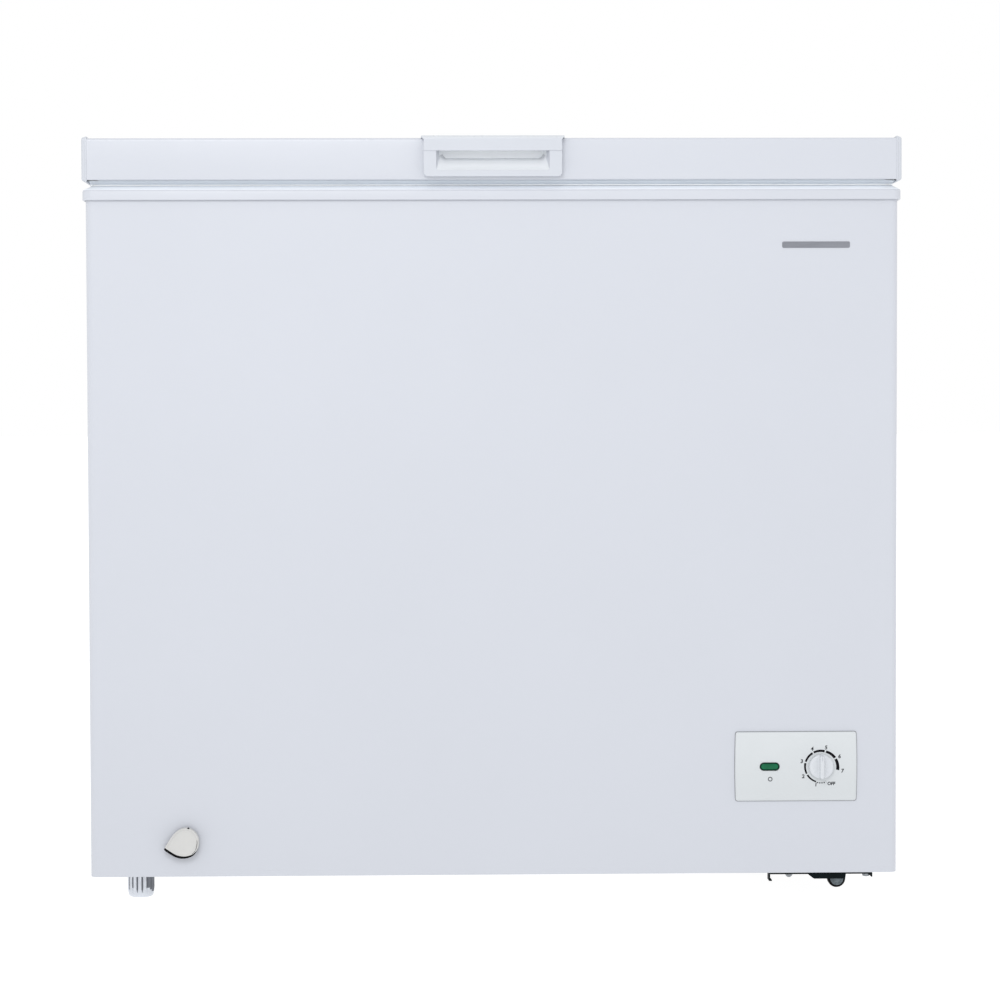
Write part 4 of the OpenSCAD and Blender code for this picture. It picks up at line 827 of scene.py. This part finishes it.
# blank badge
b_low, b_high = mm("name_plate")
BX, BZ = (b_low.x + b_high.x) / 2, (b_low.z + b_high.z) / 2
bw, bh = b_high.x - b_low.x, b_high.z - b_low.z
make("badge", [loft([front(rrect(bw - 2 * i, bh - 2 * i, max(1.5 - i, 0.3), 6, BX, BZ), y) for i, y in (
    (0.0, FY), (0.0, FY - 0.35), (0.12, FY - 0.52), (0.35, FY - 0.6), (0.75, FY - 0.6), (0.95, FY - 0.45),
    (1.1, FY - 0.42))])], "name_plate", replaces=["name_plate"], sharp=50)

# ------------------------------------------------------------------ drain

o_low, o_high = mm("drain_outlet")
DX, DZ = (o_low.x + o_high.x) / 2, (o_low.z + o_high.z) / 2
make("drain_collar", [lathe([(7.5, FY + 6), (9.8, FY + 6), (9.8, FY), (10.3, FY), (10.6, FY - 0.5),
                             (10.5, FY - 1.3), (10.1, FY - 1.8), (9.6, FY - 2), (7.9, FY - 2),
                             (7.5, FY - 1.6)],
                            (DX, 0, DZ), "y", 96)], "drain_outlet", replaces=["drain_outlet"], sharp=40)
d_low, d_high = mm("drain_dial")
CAP_Y = d_low.y
SHELL = [(-20.3, -6.5), (-16.5, -9.6), (-10.5, -13.4), (-6, -15.4), (-0.8, -16.4), (5, -16), (10.6, -13.9),
         (14.6, -10.2), (16.7, -5.6), (17.2, 0), (16.6, 4.6), (14.4, 9), (10.8, 12.6), (6.8, 14.6),
         (2.2, 15.2), (-1.8, 14.4), (-6.0, 12.4), (-10.2, 8.8), (-13.8, 4.4), (-16.9, -0.2), (-19.1, -3.9)]


def rounded_loop(pts, n=6):
    """Smooth closed curve through points."""
    out, k = [], len(pts)
    for i in range(k):
        p0, p1, p2, p3 = (Vector(pts[(i + j) % k]) for j in (-1, 0, 1, 2))
        for j in range(n):
            t = j / n
            out.append(0.5 * (2 * p1 + (p2 - p0) * t + (2 * p0 - 5 * p1 + 4 * p2 - p3) * t * t
                              + (3 * p1 - p0 - 3 * p2 + p3) * t ** 3))
    return out


CAP = rounded_loop(SHELL)
CAP_REACH = 17  # distance of the cap's edge from its middle


def cap_ring(shrink, y, dx=0.0, dz=0.0):
    """Outline of the cap drawn in towards its middle by a distance and shifted sideways."""
    k = 1 - shrink / CAP_REACH
    return [(DX + dx + p.x * k, y, DZ + dz + p.y * k) for p in CAP]


make("drain_cap", [loft([cap_ring(*a) for a in (
    (2.4, FY - 2.6), (0.6, FY - 2.6), (0.1, FY - 3.1), (0.0, FY - 4.2), (0.0, CAP_Y + 2.6),
    (0.12, CAP_Y + 1.3), (0.45, CAP_Y + 0.5), (0.95, CAP_Y + 0.08), (1.35, CAP_Y), (1.75, CAP_Y + 0.12),
    (2.1, CAP_Y + 0.5), (2.6, CAP_Y + 0.95), (4.0, CAP_Y + 1.4), (6.5, CAP_Y + 1.7), (10.0, CAP_Y + 1.75),
    (13.0, CAP_Y + 1.6), (15.5, CAP_Y + 1.55))])],
    "drain_dial", replaces=["drain_dial"], sharp=50)
# dark sheet set lower behind the cap: painted shade of the gap under the cap's rim
make("drain_cap_gap_shade", [loft([cap_ring(*a) for a in (
    (2.0, FY - 2.5, -0.9, -2.2), (0.3, FY - 2.5, -1.0, -2.5), (0.0, FY - 3.4, -1.1, -2.6),
    (0.1, CAP_Y + 2.4, -1.1, -2.6), (0.6, CAP_Y + 1.9, -1.0, -2.4), (3.0, CAP_Y + 1.8, -0.9, -2.2))])],
    "drain_dial", mat=GAP_SHADE_AND_MARK, sharp=50)
stem = d_high.y
make("drain_cap_stem", [lathe([(3, FY - 3.0), (4.95, FY - 3.0), (4.95, stem - 0.6), (4.4, stem), (3, stem)],
                              (DX, 0, DZ), "y", 40)], "drain_dial")
make("drain_mark", [lathe([(0, CAP_Y + 0.3), (0.85, CAP_Y + 0.35), (1.15, CAP_Y + 0.7), (1.15, CAP_Y + 3),
                           (0, CAP_Y + 3)], (DX + 5.6, 0, DZ + 14.6), "y", 24)], "drain_dial", mat=GAP_SHADE_AND_MARK)

# dark crescent beside the cap's face, painted shade at the face's edge: a tapering sliver along its edge
CRESCENT = [(15.6, 1.6), (15.7, -1.5), (15.2, -5.0), (14.2, -8.6), (12.4, -11.4), (9.8, -13.7)]


def crescent_ring(y_edge, y_inner):
    """The sliver's outline, with its outer and inner edge at their own depth."""
    return ([(DX + x, y_edge, DZ + z) for x, z in CRESCENT]
            + [(DX + x * 0.965, y_inner, DZ + z * 0.965) for x, z in CRESCENT[::-1]])


make("drain_face_edge_shade", [loft([crescent_ring(CAP_Y + 0.6, CAP_Y + 0.6),
                               crescent_ring(CAP_Y - 0.03, CAP_Y + 0.1)])],
     "drain_dial", mat=GAP_SHADE_AND_MARK, sharp=40)
q_low, q_high = mm("drain_plug")
zq = q_low.z + 9
make("stopper", [lathe([(0, zq - 9), (6.9, zq - 9), (7.3, zq - 8.4), (7.4, zq), (12.6, zq), (13, zq + 0.6),
                        (13, zq + 1.8), (12.2, zq + 2.8), (8, zq + 3.2), (5.6, zq + 3.8), (5, zq + 5),
                        (5, zq + 7.6), (5.8, zq + 8.8), (7.6, zq + 9.4), (8, zq + 10.2), (7.8, zq + 11.4),
                        (7, zq + 12), (0, zq + 12)],
                       ((q_low.x + q_high.x) / 2, (q_low.y + q_high.y) / 2, 0), "z")],
     "drain_plug", replaces=["drain_plug"], sharp=50)

# ------------------------------------------------------------------ feet


FLUTES, FOOT_SIDES = 16, 192
FLUTE_SHADE_R = 14.35  # faces nearer the foot's axis than this get the groove's shade


def foot(node):
    """Levelling foot with fluted sides and a bore for its stud."""
    a, b = mm(node)
    fx, fy, top = (a.x + b.x) / 2, (a.y + b.y) / 2, b.z
    rings = []
    for r, z, depth in (
            (9.8, 0.0, 0), (11.6, 0.15, 0), (13.0, 0.9, 0), (13.8, 2.2, 0), (14.25, 4.0, 0.05),
            (14.6, 6.2, 0.25), (14.85, 8.6, 0.8), (15.0, 11.0, 1.35), (15.0, top - 6.5, 1.5),
            (15.0, top - 3.4, 1.5), (14.8, top - 2.4, 1.0), (14.4, top - 1.9, 0.3), (14.1, top - 1.4, 0.0),
            (14.1, top - 0.5, 0.0), (13.6, top, 0.0)):
        ring = []
        for k in range(FOOT_SIDES):
            t = 2 * pi * k / FOOT_SIDES
            groove = max(0.0, cos(FLUTES * t + pi)) ** 1.6
            q = r - depth * groove
            ring.append((fx + q * cos(t), fy + q * sin(t), z))
        rings.append(ring)
    o = make(node + "_fluted", [loft(rings)], node, replaces=[node], sharp=50)
    cut(o, tool(prism(circle(3.05, 32, fx, fy), flat, 13.9, top + 1)))
    smooth(o, 50)
    paint(o, FOOT_UPPER, lambda c, n: 9 < c.z < top - 1.6 and hypot(c.x - fx, c.y - fy) >= FLUTE_SHADE_R)
    # painted shade: the flutes, and every face on the foot's right side, between a wavy lower edge and the
    # top
    paint(o, FOOT_SHADE, lambda c, n: 9 < hypot(c.x - fx, c.y - fy) < (FLUTE_SHADE_R if c.x < fx + 9 else 16)
          and 8.5 + 2.5 * sin(5 * atan2(c.y - fy, c.x - fx)) < c.z < top - 1.6)


foot("foot_cap_front")
foot("foot_cap_rear")

# ------------------------------------------------------------------ base plate, bolts and rollers

a, b = mm("base_plate")
X0, X1, Y0, Y1 = a.x, b.x, a.y, b.y
ZT = b.z
ZL = ZT - 2
section = ([(X0, ZL)] + arc(X0 + 1.2, ZT - 1.2, 1.2, 180, 90, 5) + arc(X1 - 1.2, ZT - 1.2, 1.2, 90, 0, 5)
           + [(X1, ZL)])
plate = make("base_tray", [prism(section, front, Y0, Y1)], "base_plate", replaces=["base_plate"])
ear = [(X0, ZL + 0.4), (X0, a.z + 0.5), (X0 + 0.5, a.z), (X0 + 3.5, a.z), (X0 + 3.5, a.z + 1.2),
       (X0 + 2.1, a.z + 1.7), (X0 + 1.5, a.z + 3.2), (X0 + 1.5, ZL + 0.4)]
lip = [(X1 - 1.6, ZL + 0.4), (X1 - 1.6, ZL - 3.2), (X1 - 1.2, ZL - 3.5), (X1, ZL - 3.5), (X1, ZL + 0.4)]
for part in (ear, lip):
    cut(plate, tool(prism(part, front, Y0, Y0 + 14)), "UNION")
r0, r1, ry = X0 + 43.6, X1 - 29.7, Y0 + 46
cut(plate, tool(prism([(r0, ZL + 0.4), (r0 + 1.2, ZL - 0.9), (r0 + 6.0, ZL - 4.6), (r0 + 7.4, ZL - 5.2),
                       (r1 - 1.6, ZL - 5.2), (r1 - 0.6, ZL - 4.4), (r1, ZL + 0.4)], front, Y0, ry)), "UNION")
cut(plate, tool(prism([(r0 + 2.5, ZT + 1), (r0 + 7.7, ZL - 3.8), (r1 - 1.6, ZL - 3.8), (r1 - 1.6, ZT + 1)],
                      front, Y0 + 1.4, ry - 1.4)))
COMP_X, COMP_Y = 364, 62
COMP_FEET = [(COMP_X + dx, COMP_Y + dy) for dy in (-84, 84) for dx in (-43, 43)]
for x, y in COMP_FEET:
    cut(plate, tool(prism(circle(3.1, 24, x, y), flat, ZL - 8, ZT + 2)))
add_bevel(plate, 0.35, 2, 35)

bolts = []
for x in (329.5, 416):
    for y in (-249, 222):
        head = ((3.9, 0.0), (4.2, 0.35), (4.2, 1.6), (3.3, 3.2), (1.9, 4.3), (0.8, 4.6)) if x < 400 else (
            (3.9, 0.0), (4.2, 0.35), (4.2, 2.9), (3.9, 3.6), (2.8, 3.9), (1.0, 3.9))
        bolts.append(loft([flat(circle(r, 6, x, y), ZL - h) for r, h in head]))
        bolts.append(lathe([(0, ZL - 0.5), (4.5, ZL - 0.5), (4.7, ZL - 0.25), (4.5, ZL), (3, ZL), (3, ZT + 7),
                            (2, ZT + 8), (0, ZT + 8)], (x, y, 0), "z", 40))
for x, y in COMP_FEET:
    bolts.append(lathe([(0, ZL - 2), (4.6, ZL - 2), (5.4, ZL - 1.4), (5.5, ZL), (3, ZL), (3, 62), (2.5, 62.5),
                        (0, 62.5)], (x, y, 0), "z", 40))
make("plate_bolts", bolts, "base_bolts", mat=BOLT, replaces=["base_bolts"], sharp=32, bevel=0.15, segments=2)

a, b = mm("roller_front")
RX, RR = (a.x + b.x) / 2, (b.z - a.z) / 2
ROLLER_Y = (-173, 178)
for node in ("roller_front", "roller_rear"):
    a, b = mm(node)
    ya, yb, yc = a.y, b.y, (a.y + b.y) / 2
    profile = [(3.05, ya + 0.6), (3.6, ya + 0.15), (7.2, ya + 0.15), (7.6, ya), (9.3, ya), (9.95, ya + 0.3),
               (10.2, ya + 1.1), (10.2, yb - 1.1), (9.95, yb - 0.3), (9.3, yb), (7.6, yb), (7.2, yb - 0.15),
               (3.6, yb - 0.15), (3.05, yb - 0.6)]
    make(node + "_tyre", [lathe([(min(r, RR), h) for r, h in profile], (RX, 0, (a.z + b.z) / 2), "y", 72)],
         node, replaces=[node], sharp=40)
axle = []
for yc in ROLLER_Y:
    e = 8.5
    axle.append(lathe([(0, yc - e), (2.6, yc - e), (3.8, yc - e + 0.5), (4.2, yc - e + 1.1), (4.2, yc - 6.5),
                       (3.0, yc - 6.5), (3.0, yc + 6.5), (4.2, yc + 6.5), (4.2, yc + e - 1.1),
                       (3.8, yc + e - 0.5), (2.6, yc + e), (0, yc + e)], (RX, 0, RR), "y", 40))
make("axle_pins", axle, "roller_axles", mat=HUB, replaces=["roller_axles"], sharp=40)
ticks = []
for yc in ROLLER_Y:
    for k in range(5):
        t = radians(200 + 35 * k)
        mark = rrect(1.5, 0.7, 0.3, 3, RX + 5.6 * cos(t), RR + 5.6 * sin(t))
        ticks.append(prism(mark, front, yc - 6.8, yc - 6.4))
make("fork_marks", ticks, "roller_forks", mat=HUB, bevel=0.08, segments=2)
nodes["roller_forks"].data.materials[0] = HUB

# ------------------------------------------------------------------ compressor

SHELL_R, SEAM_Z = 64.0, 125.0
for node, s in (("compressor_lower_shell", -1), ("compressor_upper_shell", 1)):
    r, z0 = SHELL_R, mm(node)[s > 0].z
    out = [(0, z0), (r * 0.35, z0 - s * 0.5), (r - 26, z0 - s * 2.0), (r - 14, z0 - s * 5.5),
           (r - 6, z0 - s * 12.5), (r - 1.6, z0 - s * 22), (r, z0 - s * 32)]
    if s > 0:
        out += [(r, SEAM_Z + 8), (r + 1.6, SEAM_Z + 5.2), (r + 2, SEAM_Z + 4.4), (r + 2, SEAM_Z)]
    else:
        out += [(r, SEAM_Z)]
    inn = [(r - 3, SEAM_Z), (r - 3, z0 - s * 33), (r - 5, z0 - s * 24), (r - 10, z0 - s * 14),
           (r - 18, z0 - s * 7), (0, z0 - s * 3)]
    make(node + "_drawn", [lathe(out + inn, (COMP_X, COMP_Y, 0), "z", 96)], node, replaces=[node], sharp=45)

# ------------------------------------------------------------------ springs and basket

a, b = mm("hinge_springs")
SX, SY = 300.0, (a.y + b.y) / 2
coils = []
for s in (-1, 1):
    turns = 11
    n = 24 * turns
    coils.append(sweep([(s * SX + 7.2 * cos(2 * pi * turns * i / n), SY + 7.2 * sin(2 * pi * turns * i / n),
                         a.z + 1.3 + (b.z - a.z - 2.6) * i / n) for i in range(n + 1)], 1.3, 10))
make("lid_springs", coils, "hinge_springs", replaces=["hinge_springs"], sharp=60)

f_low, f_high = mm("basket_frame")
BXC, wt = 230.0, 2.0
bw, bd, bz = 226.0, 376.0, f_high.z - 2.0
low_z = f_low.z


def loop_path(w, d, r, z):
    return flat(rrect(w, d, r, 8, BXC, cy), z)


wires = [sweep(loop_path(bw - 4, bd - 4, 10, bz), wt, 12, loop=True),
         sweep(loop_path(bw - 12, bd - 12, 8, low_z + 2), wt, 12, loop=True)]
for s in (-1, 1):
    e = bd / 2
    grip = [(BXC - 64, cy + s * (e - 2), bz), (BXC - 64, cy + s * (e + 9), bz),
            (BXC + 60, cy + s * (e + 9), bz), (BXC + 60, cy + s * (e - 2), bz)]
    wires.append(sweep(eased(grip, 6), wt - 0.02, 12))
    for t in (-1, 1):
        post = [(BXC + s * (bw / 2 - 7), cy + t * (bd / 2 - 7), z) for z in (low_z + 1, bz)]
        wires.append(sweep(post, 2.4, 12))
make("basket_wires", wires, "basket_frame", replaces=["basket_frame"], sharp=60)
mesh = []
low_m = low_z + 4
h = bz + 1 - low_m
w, d, tw = bw - 26, bd - 26, 1.1
for s in (-1, 1):
    y = cy + s * (bd / 2 - 6)
    for i in range(9):
        x = BXC - w / 2 + (w - 2.2) * i / 8 + tw
        mesh.append(sweep([(x, y - s * 0.8, low_m), (x, y - s * 0.8, low_m + h)], tw, 8))
    for j in range(7):
        z = low_m + (h - 2.2) * j / 6 + tw
        mesh.append(sweep([(BXC - w / 2 - 6, y + s * 0.6, z), (BXC + w / 2 + 6, y + s * 0.6, z)], tw, 8))
    x = BXC + s * (bw / 2 - 6)
    for i in range(15):
        yy = cy - d / 2 + (d - 2.2) * i / 14 + tw
        mesh.append(sweep([(x - s * 0.8, yy, low_m), (x - s * 0.8, yy, low_m + h)], tw, 8))
    for j in range(7):
        z = low_m + (h - 2.2) * j / 6 + tw
        mesh.append(sweep([(x + s * 0.6, cy - d / 2 - 6, z), (x + s * 0.6, cy + d / 2 + 6, z)], tw, 8))
for i in range(9):
    x = BXC - (bw - 30) / 2 + (bw - 32) * i / 8 + tw
    mesh.append(sweep([(x, cy - bd / 2 + 8, low_m + 1), (x, cy + bd / 2 - 8, low_m + 1)], tw, 8))
for j in range(15):
    y = cy - (bd - 30) / 2 + (bd - 32) * j / 14 + tw
    mesh.append(sweep([(BXC - bw / 2 + 8, y, low_m + 2.6), (BXC + bw / 2 - 8, y, low_m + 2.6)], tw, 8))
make("basket_grid", mesh, "basket_mesh", replaces=["basket_mesh"], sharp=60)

# ------------------------------------------------------------------ small CAD nodes that stay

for n, width in (("hinge_bases", 0.5), ("hinge_leaves", 0.5), ("rear_cover", 0.35), ("compressor_feet", 0.4),
                 ("terminal_cover", 0.8), ("roller_forks", 0.3), ("thermostat", 0.6), ("foot_brackets", 0.4),
                 ("rear_panel", 0.4), ("base_pan", 0.4), ("bay_partition", 0.4), ("cabinet_screws", 0.15),
                 ("lid_screws", 0.15), ("hinge_pins", 0.4), ("hinge_plungers", 0.4), ("cord_gland", 0.5)):
    add_bevel(nodes[n], width, 2, 35)

# ------------------------------------------------------------------ stage, light and camera

bm = bmesh.new()
bmesh.ops.create_grid(bm, x_segments=8, y_segments=8, size=40.0)
me = bpy.data.meshes.new("floor")
bm.to_mesh(me)
bm.free()
floor = add_object("floor", me)
m, t, b = node_material("floor")
co = t.nodes.new("ShaderNodeTexCoord").outputs["Object"]
link(t, ramp(t, noise(t, co, 0.7, 3.0), (0.19, 0.19, 0.19), (0.21, 0.21, 0.21)), b.inputs["Base Color"])
b.inputs["Roughness"].default_value = 0.7
b.inputs["Specular IOR Level"].default_value = 0.1
b.inputs["Emission Color"].default_value = (1, 1, 1, 1)
b.inputs["Emission Strength"].default_value = 0.98
me.materials.append(m)

world = bpy.data.worlds.new("studio")
bpy.context.scene.world = world
world.use_nodes = True
bg = next(n for n in world.node_tree.nodes if n.type == "BACKGROUND")
bg.inputs["Color"].default_value = (1.0, 1.0, 1.0, 1)
bg.inputs["Strength"].default_value = 1.0


key = bpy.data.lights.new("key", "AREA")
key.shape, key.size, key.size_y, key.energy = "RECTANGLE", 1.0, 1.0, 20
lamp = add_object("key", key)
lamp.location = (-0.45, -2.6, 1.9)
lamp.rotation_euler = (Vector((0, -0.26, 0.5)) - lamp.location).to_track_quat("-Z", "Y").to_euler()

view = bpy.data.cameras.new("camera")
view.lens = 100.584
view.sensor_width = 36.0
view.clip_end = 200
camera = add_object("camera", view)
EYE = Vector((-0.05952, -3.353, 0.560))
yaw, pitch, roll = 0.0214765, -0.0360337, -0.0029259
fwd = Vector((sin(yaw) * cos(pitch), cos(yaw) * cos(pitch), sin(pitch)))
level = Vector((cos(yaw), -sin(yaw), 0))
upright = level.cross(fwd)
right = cos(roll) * level + sin(roll) * upright
up = cos(roll) * upright - sin(roll) * level
m = Matrix((right, up, -fwd)).transposed().to_4x4()
m.translation = EYE
camera.matrix_world = m
bpy.context.scene.camera = camera
bpy.context.scene.view_settings.view_transform = "Standard"
